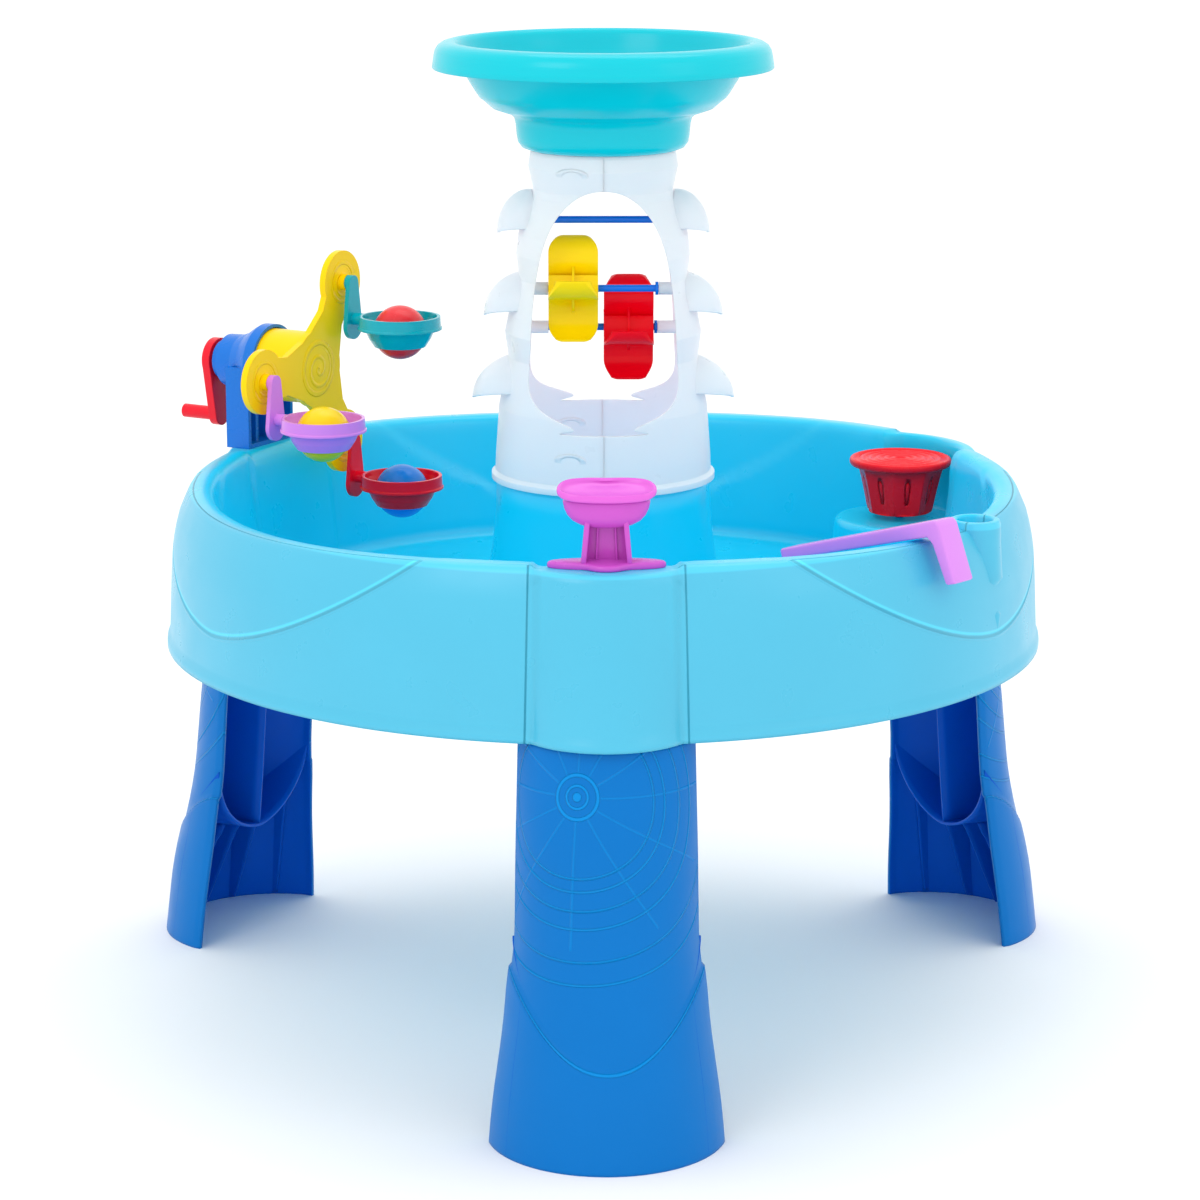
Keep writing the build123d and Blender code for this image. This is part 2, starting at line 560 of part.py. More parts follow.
# --- build and write -------------------------------------------------------------
tower = make_tower()
parts = {
    "basin": make_basin(),
    "drain_plug": make_drain_plug(),
    "leg_front": make_leg(FRONT),
    "leg_rear_left": make_leg(REAR_LEFT),
    "leg_rear_right": make_leg(REAR_RIGHT),
    "leg_screws": make_leg_screws(),
    "tower_left_half": tower_half(tower, -200, 0),
    "tower_right_half": tower_half(tower, 0, 200),
    "top_rod": make_axle(0.0, TOP_ROD_Z, 58, False),
    "upper_axle": make_axle(*UPPER_AXLE, 54, True),
    "lower_axle": make_axle(*LOWER_AXLE, 54, True),
    "funnel": make_funnel(),
    "water_wheel_yellow": make_wheel(-46.2, -4.4, *UPPER_AXLE, 0),
    "water_wheel_red": make_wheel(0.7, 43.0, *LOWER_AXLE, 12),
    "crank_bracket": make_bracket(),
    "bracket_screws": make_bracket_screws(),
    "cup_spider": make_spider(),
    "crank_handle": make_crank(),
    "cup_teal": make_cup(PIVOT_ANGLES[0]),
    "cup_purple": make_cup(PIVOT_ANGLES[1]),
    "cup_red": make_cup(PIVOT_ANGLES[2]),
    "ball_red": make_ball(PIVOT_ANGLES[0]),
    "ball_yellow": make_ball(PIVOT_ANGLES[1]),
    "ball_blue": make_ball(PIVOT_ANGLES[2]),
    "launcher_base": make_launcher_base(),
    "launcher_tray": make_launcher_tray(),
    "launcher_pin": make_launcher_pin(),
    "flip_lever": make_flip_lever(),
    "lever_pin": make_lever_pin(),
    "spinner": make_spinner(),
    "spinner_post": make_spinner_post(),
}

os.makedirs("parts", exist_ok=True)
for name, shape in parts.items():
    pieces = shape if isinstance(shape, list) else [shape]
    moved = [Pos(0, TUB_Y, 0) * piece for piece in pieces]
    export_step(moved[0] if len(moved) == 1 else Compound(children=moved), f"parts/{name}.step")
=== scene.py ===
"""Looks for a round sand and water table: moulded tub on three flared legs, white water tower with a
funnel and two scoop wheels, a cranked wheel of hanging cups, a flap launcher, a lever and a spinner."""

from math import atan2, cos, degrees, hypot, pi, radians, sin, sqrt

import bmesh
import bpy
from mathutils import Matrix, Vector


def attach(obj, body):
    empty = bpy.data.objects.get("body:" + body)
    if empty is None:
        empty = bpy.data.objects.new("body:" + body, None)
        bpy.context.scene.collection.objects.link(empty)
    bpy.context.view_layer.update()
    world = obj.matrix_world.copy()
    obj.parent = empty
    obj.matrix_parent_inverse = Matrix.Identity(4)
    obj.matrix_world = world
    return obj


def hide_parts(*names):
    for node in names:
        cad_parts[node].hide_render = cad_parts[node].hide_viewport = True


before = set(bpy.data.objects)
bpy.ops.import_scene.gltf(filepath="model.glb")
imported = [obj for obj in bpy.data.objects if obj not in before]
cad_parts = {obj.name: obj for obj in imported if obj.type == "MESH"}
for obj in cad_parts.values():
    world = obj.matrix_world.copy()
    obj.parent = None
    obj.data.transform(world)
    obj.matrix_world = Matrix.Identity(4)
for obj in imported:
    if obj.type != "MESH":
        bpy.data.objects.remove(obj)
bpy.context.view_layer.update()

# --- the table's own measures, in millimetres -------------------------------------
MM = 0.001
TUB = Vector((0, 0.0385, 0))      # the tub's axis stands this far behind the origin
FRONT, REAR_RIGHT, REAR_LEFT = -90, 30, 150
LOBES = (FRONT, REAR_RIGHT, REAR_LEFT)
SOCKET_AZIMUTH = -30
RIM_Z = 455.0
FLOOR_Z = 341.0
ISLAND_OUT = 309.5
SKIRT_FOOT_Z = 322.0
BAY_FLOOR_Z = 390.0
BAY_HALF = 9.2                    # degrees either side of the rear right lobe
DRAIN_OUT, DRAIN_HOLE = 210, 8.6
SOCKET_OUT, SOCKET_BORE = 347.0, 14.5
CAROUSEL_Z = 527.5
PIVOT_RADIUS = 83.0
PIVOT_ANGLES = (120.0, 0.0, 240.0)
BOOT_Z, BOOT_RISE, BOOT_HALF, BOOT_POWER = 78, 61, 76, 2.1    # arched step above a leg's foot


# --- helpers ------------------------------------------------------------------------
def linear(colour):
    """sRGB hex to the linear colour that a shader takes."""
    parts = [int(colour[k:k + 2], 16) / 255 for k in (0, 2, 4)]
    return [c / 12.92 if c <= 0.04045 else ((c + 0.055) / 1.055) ** 2.4 for c in parts] + [1.0]


def ramp(x, low, high):
    """Smooth step from 0 at low to 1 at high."""
    t = min(max((x - low) / (high - low), 0.0), 1.0)
    return t * t * (3 - 2 * t)


def mix(a, b, t):
    return a + (b - a) * t


def soft_max(a, b, width):
    """The larger of two radii, rounded over where they meet."""
    near = max(width - abs(a - b), 0.0) / width
    return max(a, b) + near * near * width / 4


def along(points, x):
    """Straight-line reading of a table of (x, y) points sorted by x."""
    for (x0, y0), (x1, y1) in zip(points, points[1:]):
        if x <= x1:
            return mix(y0, y1, (x - x0) / (x1 - x0)) if x > x0 else y0
    return points[-1][1]


def turn(azimuth):
    """From a lobe's own frame, X outwards, to its place round the tub."""
    return Matrix.Translation(TUB) @ Matrix.Rotation(radians(azimuth), 4, "Z") @ Matrix.Scale(MM, 4)


def spun(profile, steps):
    """Surface of revolution about Z from (radius, height) points."""
    bm = bmesh.new()
    ring = [bm.verts.new((r, 0, z)) for r, z in profile]
    edges = [bm.edges.new(pair) for pair in zip(ring, ring[1:])]
    bmesh.ops.spin(bm, geom=ring + edges, cent=(0, 0, 0), axis=(0, 0, 1), angle=2 * pi, steps=steps,
                   use_merge=True)
    bmesh.ops.remove_doubles(bm, verts=bm.verts, dist=0.0005)
    return bm


def piece(name, bm, finish, body, nodes, azimuth=None, wall=0.0, inward=-1, edge=40):
    """Turns a mesh in millimetres into an object of the table that rides on a body.

    wall thickens it, inward of its surface or on both sides (inward 0), and edges over edge degrees stay sharp."""
    if azimuth is None:
        place = Matrix.Translation(TUB) @ Matrix.Scale(MM, 4)
    else:
        place = turn(azimuth)
    bmesh.ops.recalc_face_normals(bm, faces=bm.faces)
    bm.transform(place)
    mesh = bpy.data.meshes.new(name)
    bm.to_mesh(mesh)
    bm.free()
    mesh.shade_smooth()
    mesh.set_sharp_from_angle(angle=radians(edge))
    obj = bpy.data.objects.new(name, mesh)
    bpy.context.scene.collection.objects.link(obj)
    mesh.materials.append(finish)
    if wall:
        solid = obj.modifiers.new("wall", "SOLIDIFY")
        solid.thickness = wall * MM
        solid.offset = inward
        solid.use_even_offset = False
    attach(obj, body)
    if nodes:
        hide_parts(*nodes)
    return obj


# --- finishes -----------------------------------------------------------------------
def node(tree, kind, settings=(), links=()):
    """Adds a node with its settings, and links its named inputs from other nodes' outputs."""
    made = tree.nodes.new(kind)
    for key, value in dict(settings).items():
        if key in made.inputs:
            made.inputs[key].default_value = value
        else:
            setattr(made, key, value)
    for key, source in dict(links).items():
        tree.links.new(source, made.inputs[key])
    return made


def plastic(name, colour, roughness, shade=0.05, cloud=60.0, grain=3.0, lift=0.00002, edge=0.8,
            depth=0.0, radius=(0.6, 0.8, 1.0), glow=0.0, relief=None, gloss=0.32):
    """Moulded plastic: faint clouding, a fine mould texture, softened edges and a satin or glossy skin.

    cloud, grain and edge are in millimetres and shade is how far the clouding moves the colour. glow is a painted
    glow, an emission standing in for light that thin plastic passes and near walls throw back. relief adds a
    moulded pattern as bump and may return where a painted highlight lightens the colour along its edges."""
    made = bpy.data.materials.new(name)
    made.use_nodes = True
    tree = made.node_tree
    tree.nodes.clear()
    place = node(tree, "ShaderNodeTexCoord").outputs["Object"]
    clouds = node(tree, "ShaderNodeTexNoise", {"Scale": 1000 / cloud, "Detail": 3.0, "Roughness": 0.5},
                  {"Vector": place})
    base = linear(colour)
    darker = [c * (1 - shade) for c in base[:3]] + [1]
    lighter = [min(c * (1 + shade) + shade * 0.02, 1) for c in base[:3]] + [1]
    tint = node(tree, "ShaderNodeMix", {"data_type": "RGBA"})
    tint.inputs[6].default_value = darker
    tint.inputs[7].default_value = lighter
    tree.links.new(clouds.outputs["Fac"], tint.inputs[0])
    polish = node(tree, "ShaderNodeTexNoise", {"Scale": 1000 / (cloud * 0.35), "Detail": 4.0}, {"Vector": place})
    rough = node(tree, "ShaderNodeMapRange", {"From Min": 0.3, "From Max": 0.7, "To Min": roughness * 0.85,
                                              "To Max": roughness * 1.15}, {"Value": polish.outputs["Fac"]})
    texture = node(tree, "ShaderNodeTexNoise", {"Scale": 1000 / grain, "Detail": 2.0}, {"Vector": place})
    soft = node(tree, "ShaderNodeBevel", {"samples": 4, "Radius": edge * MM})
    normal = node(tree, "ShaderNodeBump", {"Distance": lift, "Strength": 1.0},
                  {"Height": texture.outputs["Fac"], "Normal": soft.outputs["Normal"]}).outputs["Normal"]
    body_colour = tint.outputs[2]
    if relief:
        normal, lines = relief(tree, place, normal)
        if lines is not None:
            # Painted highlight: where the relief says, the colour is mixed towards a paler copy of itself.
            painted_highlight_mix = node(tree, "ShaderNodeMix", {"data_type": "RGBA"}, {0: lines})
            tree.links.new(body_colour, painted_highlight_mix.inputs[6])
            paler = [min(c * 1.3 + extra, 1.0) for c, extra in zip(base, (0.0, 0.15, 0.2))]
            painted_highlight_mix.inputs[7].default_value = paler + [1]
            body_colour = painted_highlight_mix.outputs[2]
    skin = node(tree, "ShaderNodeBsdfPrincipled", {"IOR": 1.5, "Specular IOR Level": gloss},
                {"Base Color": body_colour, "Roughness": rough.outputs["Result"], "Normal": normal})
    if depth:
        skin.inputs["Subsurface Weight"].default_value = depth
        skin.inputs["Subsurface Radius"].default_value = radius
        skin.inputs["Subsurface Scale"].default_value = 0.012
    # Painted glow: the plastic emits its own colour, standing in for light it passes and light thrown back onto it.
    if glow:
        skin.inputs["Emission Color"].default_value = base
        skin.inputs["Emission Strength"].default_value = glow
    node(tree, "ShaderNodeOutputMaterial", (), {"Surface": skin.outputs["BSDF"]})
    made.diffuse_color = base
    return made


def calc(tree, operation, *values):
    """Adds a math node; each value is a number or another node's output."""
    made = node(tree, "ShaderNodeMath", {"operation": operation})
    for slot, value in enumerate(values):
        if isinstance(value, (int, float)):
            made.inputs[slot].default_value = value
        else:
            tree.links.new(value, made.inputs[slot])
    return made.outputs[0]


def length(tree, a, b):
    """Length of a flat vector from its two parts."""
    return calc(tree, "SQRT", calc(tree, "ADD", calc(tree, "MULTIPLY", a, a), calc(tree, "MULTIPLY", b, b)))


def clamp01(tree, value):
    return calc(tree, "MINIMUM", calc(tree, "MAXIMUM", value, 0.0), 1.0)


def step_at(tree, value, blur):
    """0 below and 1 above zero, over a width in the value's own unit, eased at both ends."""
    t = clamp01(tree, calc(tree, "ADD", calc(tree, "DIVIDE", value, blur), 0.5))
    eased = calc(tree, "SUBTRACT", 3.0, calc(tree, "MULTIPLY", t, 2.0))
    return calc(tree, "MULTIPLY", calc(tree, "MULTIPLY", t, t), eased)


def band(tree, value, low, high, blur):
    """1 between two values and 0 outside them."""
    rise = step_at(tree, calc(tree, "SUBTRACT", value, low), blur)
    fall = step_at(tree, calc(tree, "SUBTRACT", high, value), blur)
    return calc(tree, "MULTIPLY", rise, fall)


def raised(tree, height, normal):
    """Bump from a height in millimetres."""
    settings = {"Distance": MM, "Strength": 1.0}
    return node(tree, "ShaderNodeBump", settings, {"Height": height, "Normal": normal}).outputs["Normal"]


def own_frame(tree, place, azimuth):
    """Outward, sideways and upward position in a lobe's frame, in millimetres."""
    shift = Matrix.Rotation(radians(-azimuth), 4, "Z") @ -TUB
    local = node(tree, "ShaderNodeMapping", {"Rotation": (0, 0, radians(-azimuth)), "Location": tuple(shift)},
                 {"Vector": place})
    axes = node(tree, "ShaderNodeSeparateXYZ", (), {"Vector": local.outputs["Vector"]}).outputs
    return [calc(tree, "MULTIPLY", axes[key], 1000.0) for key in ("X", "Y", "Z")]


def tub_relief(tree, place, normal):
    """Arched step round the outside of the tub, low between two lobes and climbing to the rim beside each,
    a groove along both edges of each lobe, and a painted highlight on the step and on the rim's outer bead."""
    x, y, z = own_frame(tree, place, 0)
    around = calc(tree, "MULTIPLY", calc(tree, "ARCTAN2", y, x), 180 / pi)
    off = calc(tree, "PINGPONG", calc(tree, "ADD", around, 90.0), 60.0)
    arch = calc(tree, "POWER", calc(tree, "DIVIDE", calc(tree, "SUBTRACT", 60.0, off), 35.0), 1.7)
    above = calc(tree, "SUBTRACT", z, calc(tree, "ADD", 365.0, calc(tree, "MULTIPLY", arch, 88.0)))
    far = length(tree, x, y)
    outside = step_at(tree, calc(tree, "SUBTRACT", far, 349.0), 2.0)
    beside = step_at(tree, calc(tree, "SUBTRACT", off, 10.5), 1.0)
    height = calc(tree, "MULTIPLY", step_at(tree, above, 4.6), -2.4)
    ridge = calc(tree, "MULTIPLY", band(tree, above, -3.4, -1.2, 1.6), 0.35)
    height = calc(tree, "MULTIPLY", calc(tree, "ADD", height, ridge), calc(tree, "MULTIPLY", outside, beside))
    across = calc(tree, "MULTIPLY", far, calc(tree, "SINE", calc(tree, "MULTIPLY", off, pi / 180)))
    widening = 3.0 / (RIM_Z - SKIRT_FOOT_Z)
    half = calc(tree, "ADD", 58.0, calc(tree, "MULTIPLY", calc(tree, "SUBTRACT", RIM_Z, z), widening))
    beyond = calc(tree, "SUBTRACT", across, half)
    fall = step_at(tree, calc(tree, "ADD", beyond, 4.5), 10.0)
    rise = step_at(tree, calc(tree, "SUBTRACT", beyond, 2.4), 2.4)
    edges = calc(tree, "MULTIPLY", calc(tree, "SUBTRACT", rise, fall), calc(tree, "MULTIPLY", outside, 2.6))
    # Painted highlight: a paler line along the step and over the rim.
    painted_highlight = calc(tree, "MULTIPLY", band(tree, above, 1.0, 3.6, 2.0), calc(tree, "MULTIPLY", outside, beside))
    rim = calc(tree, "MULTIPLY", step_at(tree, calc(tree, "SUBTRACT", z, 452.0), 2.0),
               step_at(tree, calc(tree, "SUBTRACT", far, 340.0), 3.0))
    painted_highlight = calc(tree, "ADD", calc(tree, "MULTIPLY", painted_highlight, 0.6), calc(tree, "MULTIPLY", rim, 0.4))
    return raised(tree, calc(tree, "ADD", height, edges), normal), painted_highlight


def light_inside(made):
    """The tub's inside: painted bounce light, a more saturated colour and a glow that stand in for the light
    bouncing from wall to floor, so it is as bright as the outside and more saturated.
    """
    tree = made.node_tree
    place = node(tree, "ShaderNodeTexCoord").outputs["Object"]
    x, y, z = own_frame(tree, place, 0)
    far = length(tree, x, y)
    inside = calc(tree, "SUBTRACT", 1.0, step_at(tree, calc(tree, "SUBTRACT", far, 343.0), 8.0))
    inside = calc(tree, "MULTIPLY", inside, step_at(tree, calc(tree, "SUBTRACT", z, 339.0), 2.0))
    bay_x, bay_y, _ = own_frame(tree, place, REAR_RIGHT)
    in_bay = calc(tree, "MULTIPLY", step_at(tree, calc(tree, "SUBTRACT", 359.5, bay_x), 1.0),
                  step_at(tree, calc(tree, "SUBTRACT", 56.0, calc(tree, "ABSOLUTE", bay_y)), 4.0))
    in_bay = calc(tree, "MULTIPLY", in_bay, step_at(tree, calc(tree, "SUBTRACT", bay_x, 300.0), 1.0))
    in_bay = calc(tree, "MULTIPLY", in_bay, step_at(tree, calc(tree, "SUBTRACT", z, 388.0), 1.0))
    inside = calc(tree, "MAXIMUM", inside, in_bay)
    skin = next(one for one in tree.nodes if one.type == "BSDF_PRINCIPLED")
    # Painted bounce light: the inside and the bay are mixed towards a more saturated blue.
    deep = node(tree, "ShaderNodeMix", {"data_type": "RGBA"})
    tree.links.new(inside, deep.inputs[0])
    tree.links.new(skin.inputs["Base Color"].links[0].from_socket, deep.inputs[6])
    deep.inputs[7].default_value = linear("00BEE0")
    tree.links.new(deep.outputs[2], skin.inputs["Base Color"])
    # Painted glow, stronger inside the tub than outside.
    strength = calc(tree, "ADD", 0.03, calc(tree, "MULTIPLY", inside, 0.17))
    tree.links.new(strength, skin.inputs["Emission Strength"])
    skin.inputs["Emission Color"].default_value = linear("00B0DC")


def disc_relief(azimuth, centres):
    """Raised rings and a curl round each (sideways, up, size) centre on a face that looks along the lobe's X."""
    def relief(tree, place, normal):
        _, sideways, height = own_frame(tree, place, azimuth)
        total = 0.0
        for a, b, size in centres:
            across = calc(tree, "SUBTRACT", sideways, a)
            up = calc(tree, "SUBTRACT", height, b)
            away = length(tree, across, up)
            angle = calc(tree, "ARCTAN2", up, across)
            ring = calc(tree, "MULTIPLY", band(tree, away, size * 0.84, size, 1.4), 0.9)
            curl = calc(tree, "SINE", calc(tree, "ADD", calc(tree, "MULTIPLY", away, 15.0 / size), angle))
            curl = calc(tree, "MULTIPLY", calc(tree, "MAXIMUM", calc(tree, "SUBTRACT", curl, 0.3), 0.0),
                        band(tree, away, -4.0, size * 0.74, 1.5))
            total = calc(tree, "ADD", total, calc(tree, "ADD", ring, curl))
        return raised(tree, total, normal), None

    return relief


def tower_relief(tree, place, normal):
    """Two raised crescents on the front and back of the tower, one near each end."""
    x, _, z = own_frame(tree, place, 0)
    total = 0.0
    for middle, level in ((-26.0, 722.0), (-28.0, 488.0)):
        across = calc(tree, "DIVIDE", calc(tree, "SUBTRACT", x, middle), 13.0)
        up = calc(tree, "DIVIDE", calc(tree, "SUBTRACT", z, level), 6.0)
        away = length(tree, across, up)
        bow = calc(tree, "MULTIPLY", band(tree, away, 0.62, 1.0, 0.2), step_at(tree, up, 0.8))
        total = calc(tree, "ADD", total, calc(tree, "MULTIPLY", bow, 1.3))
    return raised(tree, total, normal), None


def pivot_spots(size):
    """Where the three cups hang, as (sideways, up, size) in the carousel's frame."""
    spots = []
    for angle in PIVOT_ANGLES:
        a = radians(angle)
        spots.append((PIVOT_RADIUS * cos(a), CAROUSEL_Z + PIVOT_RADIUS * sin(a), size))
    return spots


# Most finishes below pass glow, a small painted glow (emission) in their own colour.
# Tub: high density polyethylene, moulded in one piece; satin, slightly waxy, with an arched step in its side.
# A painted highlight marks the step and rim, and a painted glow and painted bounce light brighten the inside.
tub_polyethylene = plastic("tub_polyethylene_sky", "48B6D6", 0.31, shade=0.03, cloud=90, lift=0.00001, edge=1.5,
                           glow=0.03, relief=tub_relief, gloss=0.5)
light_inside(tub_polyethylene)
# Funnel: glossy polypropylene, deep teal that saturates where the bowl folds on itself.
funnel_gloss = plastic("funnel_polypropylene_teal", "00C0CE", 0.22, shade=0.03, edge=1.0, glow=0.06, gloss=0.25)
# Tower: white polypropylene, thin enough to pass light; a painted pinkish white glow lights it in its own shade.
tower_white = plastic("tower_polypropylene_white", "DDE4EA", 0.32, shade=0.012, edge=1.0, depth=0.6,
                      radius=(1.0, 0.8, 0.85), glow=0.02, relief=tower_relief)


def light_shell(made):
    """The tower's inner face: a painted glow, warm and even, standing in for light that comes through the thin wall
    from outside.
    """
    tree = made.node_tree
    facing = node(tree, "ShaderNodeNewGeometry").outputs["True Normal"]
    place = node(tree, "ShaderNodeTexCoord").outputs["Object"]
    centred = node(tree, "ShaderNodeVectorMath", {"operation": "SUBTRACT"}, {0: place})
    centred.inputs[1].default_value = TUB
    flat = node(tree, "ShaderNodeVectorMath", {"operation": "MULTIPLY"}, {0: centred.outputs[0]})
    flat.inputs[1].default_value = (1.0, 1.0, 0.0)
    outward = node(tree, "ShaderNodeVectorMath", {"operation": "NORMALIZE"}, {0: flat.outputs[0]})
    along_out = node(tree, "ShaderNodeVectorMath", {"operation": "DOT_PRODUCT"}, {0: facing, 1: outward.outputs[0]})
    inner = step_at(tree, calc(tree, "SUBTRACT", -0.15, along_out.outputs["Value"]), 0.3)
    skin = next(one for one in tree.nodes if one.type == "BSDF_PRINCIPLED")
    # Painted glow on the inner faces only, warm pinkish white.
    tree.links.new(calc(tree, "ADD", 0.02, calc(tree, "MULTIPLY", inner, 0.2)), skin.inputs["Emission Strength"])
    skin.inputs["Emission Color"].default_value = linear("FADCE6")


light_shell(tower_white)
# Wheels, carousel, cups, launcher, bracket and balls: glossy injection-moulded polypropylene, strong plain colours.
yellow_gloss = plastic("wheel_polypropylene_yellow", "FAD600", 0.24, shade=0.04, glow=0.06, gloss=0.2)
spider_gloss = plastic("carousel_polypropylene_yellow", "FFCE00", 0.24, shade=0.04, glow=0.1, gloss=0.18,
                       relief=disc_relief(REAR_LEFT, [(0.0, CAROUSEL_Z, 25.0)] + pivot_spots(19.0)))
red_gloss = plastic("wheel_polypropylene_red", "F4001A", 0.24, shade=0.05, glow=0.1, gloss=0.16)
teal_gloss = plastic("cup_polypropylene_teal", "00AAB8", 0.15, shade=0.04, glow=0.03)
purple_gloss = plastic("cup_polypropylene_purple", "D884E2", 0.16, shade=0.04, glow=0.03)
cup_red_gloss = plastic("cup_polypropylene_red", "EA0C28", 0.15, shade=0.04, glow=0.06, gloss=0.25)
magenta_gloss = plastic("launcher_polypropylene_magenta", "C850C4", 0.24, shade=0.04, glow=0.03, gloss=0.4)
blue_gloss = plastic("bracket_polypropylene_blue", "0070D2", 0.26, shade=0.04, glow=0.02)
ball_blue_gloss = plastic("ball_polypropylene_blue", "1080DC", 0.24, shade=0.04)
ball_red_gloss = plastic("ball_polypropylene_red", "EA3038", 0.24, shade=0.04)
ball_yellow_gloss = plastic("ball_polypropylene_yellow", "F8D000", 0.24, shade=0.04)
# Rods and pins: turned acetal, slick and even.
rod_blue = plastic("axle_acetal_blue", "0070E0", 0.25, shade=0.03, edge=0.4)
navy_satin = plastic("pin_acetal_navy", "0A4FA8", 0.30, shade=0.03, edge=0.4)
# Lever and crank: glossy moulded polypropylene whose rounded edges catch a long highlight.
lever_gloss = plastic("lever_polypropylene_lilac", "D488E4", 0.24, shade=0.04, edge=1.6, glow=0.02, gloss=0.4)
crank_gloss = plastic("crank_polypropylene_red", "E8102A", 0.24, shade=0.04, edge=1.6, glow=0.05, gloss=0.25)
# Spinner: satin red polypropylene with moulded rings that catch the light.
spinner_gloss = plastic("spinner_polypropylene_red", "F00820", 0.28, shade=0.05, glow=0.04, gloss=0.2)


def zinc(name):
    """Zinc-plated steel screws: bright, fine turned rings."""
    made = bpy.data.materials.new(name)
    made.use_nodes = True
    tree = made.node_tree
    tree.nodes.clear()
    place = node(tree, "ShaderNodeTexCoord").outputs["Object"]
    speck = node(tree, "ShaderNodeTexNoise", {"Scale": 900.0, "Detail": 3.0}, {"Vector": place})
    rough = node(tree, "ShaderNodeMapRange", {"To Min": 0.25, "To Max": 0.5}, {"Value": speck.outputs["Fac"]})
    skin = node(tree, "ShaderNodeBsdfPrincipled", {"Base Color": linear("B9BBC0"), "Metallic": 1.0},
                {"Roughness": rough.outputs["Result"]})
    node(tree, "ShaderNodeOutputMaterial", (), {"Surface": skin.outputs["BSDF"]})
    return made


zinc_steel = zinc("screw_steel_zinc")


def leg_relief(azimuth):
    """Moulded pattern of a leg: curled disc, spokes and recessed rings round it, in surface millimetres, with a
    painted highlight along its raised lines.
    """
    def relief(tree, place, normal):
        x, y, z = own_frame(tree, place, azimuth)
        side = calc(tree, "MULTIPLY", calc(tree, "ARCTAN2", y, calc(tree, "SUBTRACT", x, 322.0)), 78.0)
        across = calc(tree, "ADD", side, 24.0)
        up = calc(tree, "SUBTRACT", z, 287.0)
        away = length(tree, across, up)
        angle = calc(tree, "ARCTAN2", up, across)
        lines = 0.0
        sunk = 0.0
        for low, high in ((62.0, 72.0), (87.0, 101.0), (126.5, 144.0)):
            sunk = calc(tree, "ADD", sunk, band(tree, away, low, high, 1.6))
            for edge in (low, high):
                lines = calc(tree, "ADD", lines, band(tree, away, edge - 0.9, edge + 0.9, 1.2))
        for low, high in ((-5.0, 3.6), (7.6, 9.8), (15.4, 18.2)):
            lines = calc(tree, "ADD", lines, band(tree, away, low, high, 1.2))
        turned = calc(tree, "ABSOLUTE", calc(tree, "SINE", calc(tree, "MULTIPLY", angle, 6.0)))
        near_spoke = calc(tree, "MULTIPLY", turned, calc(tree, "DIVIDE", away, 6.0))
        spoke = calc(tree, "SUBTRACT", 1.0, step_at(tree, calc(tree, "SUBTRACT", near_spoke, 0.9), 1.2))
        spoke = calc(tree, "MULTIPLY", spoke, band(tree, away, 19.0, 118.0, 2.0))
        lines = calc(tree, "ADD", lines, calc(tree, "MULTIPLY", spoke, 0.45))
        arch = calc(tree, "POWER", calc(tree, "DIVIDE", calc(tree, "ABSOLUTE", y), BOOT_HALF), BOOT_POWER)
        over = calc(tree, "SUBTRACT", z, calc(tree, "ADD", BOOT_Z, calc(tree, "MULTIPLY", arch, BOOT_RISE)))
        above = step_at(tree, calc(tree, "SUBTRACT", over, 8.0), 6.0)
        bead = band(tree, over, -1.4, 0.8, 1.4)
        lines = calc(tree, "ADD", calc(tree, "MULTIPLY", lines, above), bead)
        height = calc(tree, "SUBTRACT", lines, calc(tree, "MULTIPLY", calc(tree, "MULTIPLY", sunk, above), 0.8))
        # Painted highlight: the raised lines and the boot bead are painted paler.
        painted_highlight = calc(tree, "MULTIPLY", clamp01(tree, lines), 0.42)
        return raised(tree, height, normal), painted_highlight

    return relief


# --- tub ------------------------------------------------------------------------------
RING_TABLE = ((332, 371.5), (347, 370.8), (365, 370.0), (385, 369.0), (404, 367.6), (414, 366.2),
              (424, 364.2), (434, 361.5))
UPPER = ((345, 455.0, 0.0, 455.0), (349.6, 454.8, 0.5, 455.0), (352.4, 453.2, 1.0, 455.0))
SHOULDER = ((354.4, 450.0, 3.0, 454.4), (357.6, 443.0, 1.0, 452.0))
BEAD = ((373.6, 328.4, -1.6), (374.0, 325.5, -2.0), (374.0, 322.2, -1.8))
WALL_ROWS = 25


def lobe_outline(delta, height):
    """Distance of a lobe's outline from the axis, at an angle off its middle, for a height in mm."""
    t = (RIM_Z - height) / (RIM_Z - SKIRT_FOOT_Z)
    half, corner, nose = mix(58, 61, t), mix(351, 362, t), mix(372, 397.5, t)
    bow = nose - corner
    radius = (half * half + bow * bow) / (2 * bow)
    middle = nose - radius
    s = sin(delta)
    if radius * radius < middle * middle * s * s:
        return 0.0
    arc = middle * cos(delta) + sqrt(radius * radius - middle * middle * s * s)
    side = half / abs(s) if abs(s) > 1e-6 else 1e9
    return min(arc, side)


def bay_outline(delta):
    """Distance of the open bay's wall from the axis, with its two sides leaning over about a degree."""
    bow = 18.0
    radius = (49.5 * 49.5 + bow * bow) / (2 * bow)
    middle = 358.0 - radius
    s = sin(delta)
    arc = middle * cos(delta) + sqrt(max(radius * radius - middle * middle * s * s, 0))
    return mix(330.0, arc, ramp(degrees(abs(delta)), 9.1, 7.9))


def off_lobe(azimuth):
    """Signed degrees from the nearest lobe, and that lobe."""
    best = min(LOBES, key=lambda lobe: abs((azimuth - lobe + 180) % 360 - 180))
    return (azimuth - best + 180) % 360 - 180, best


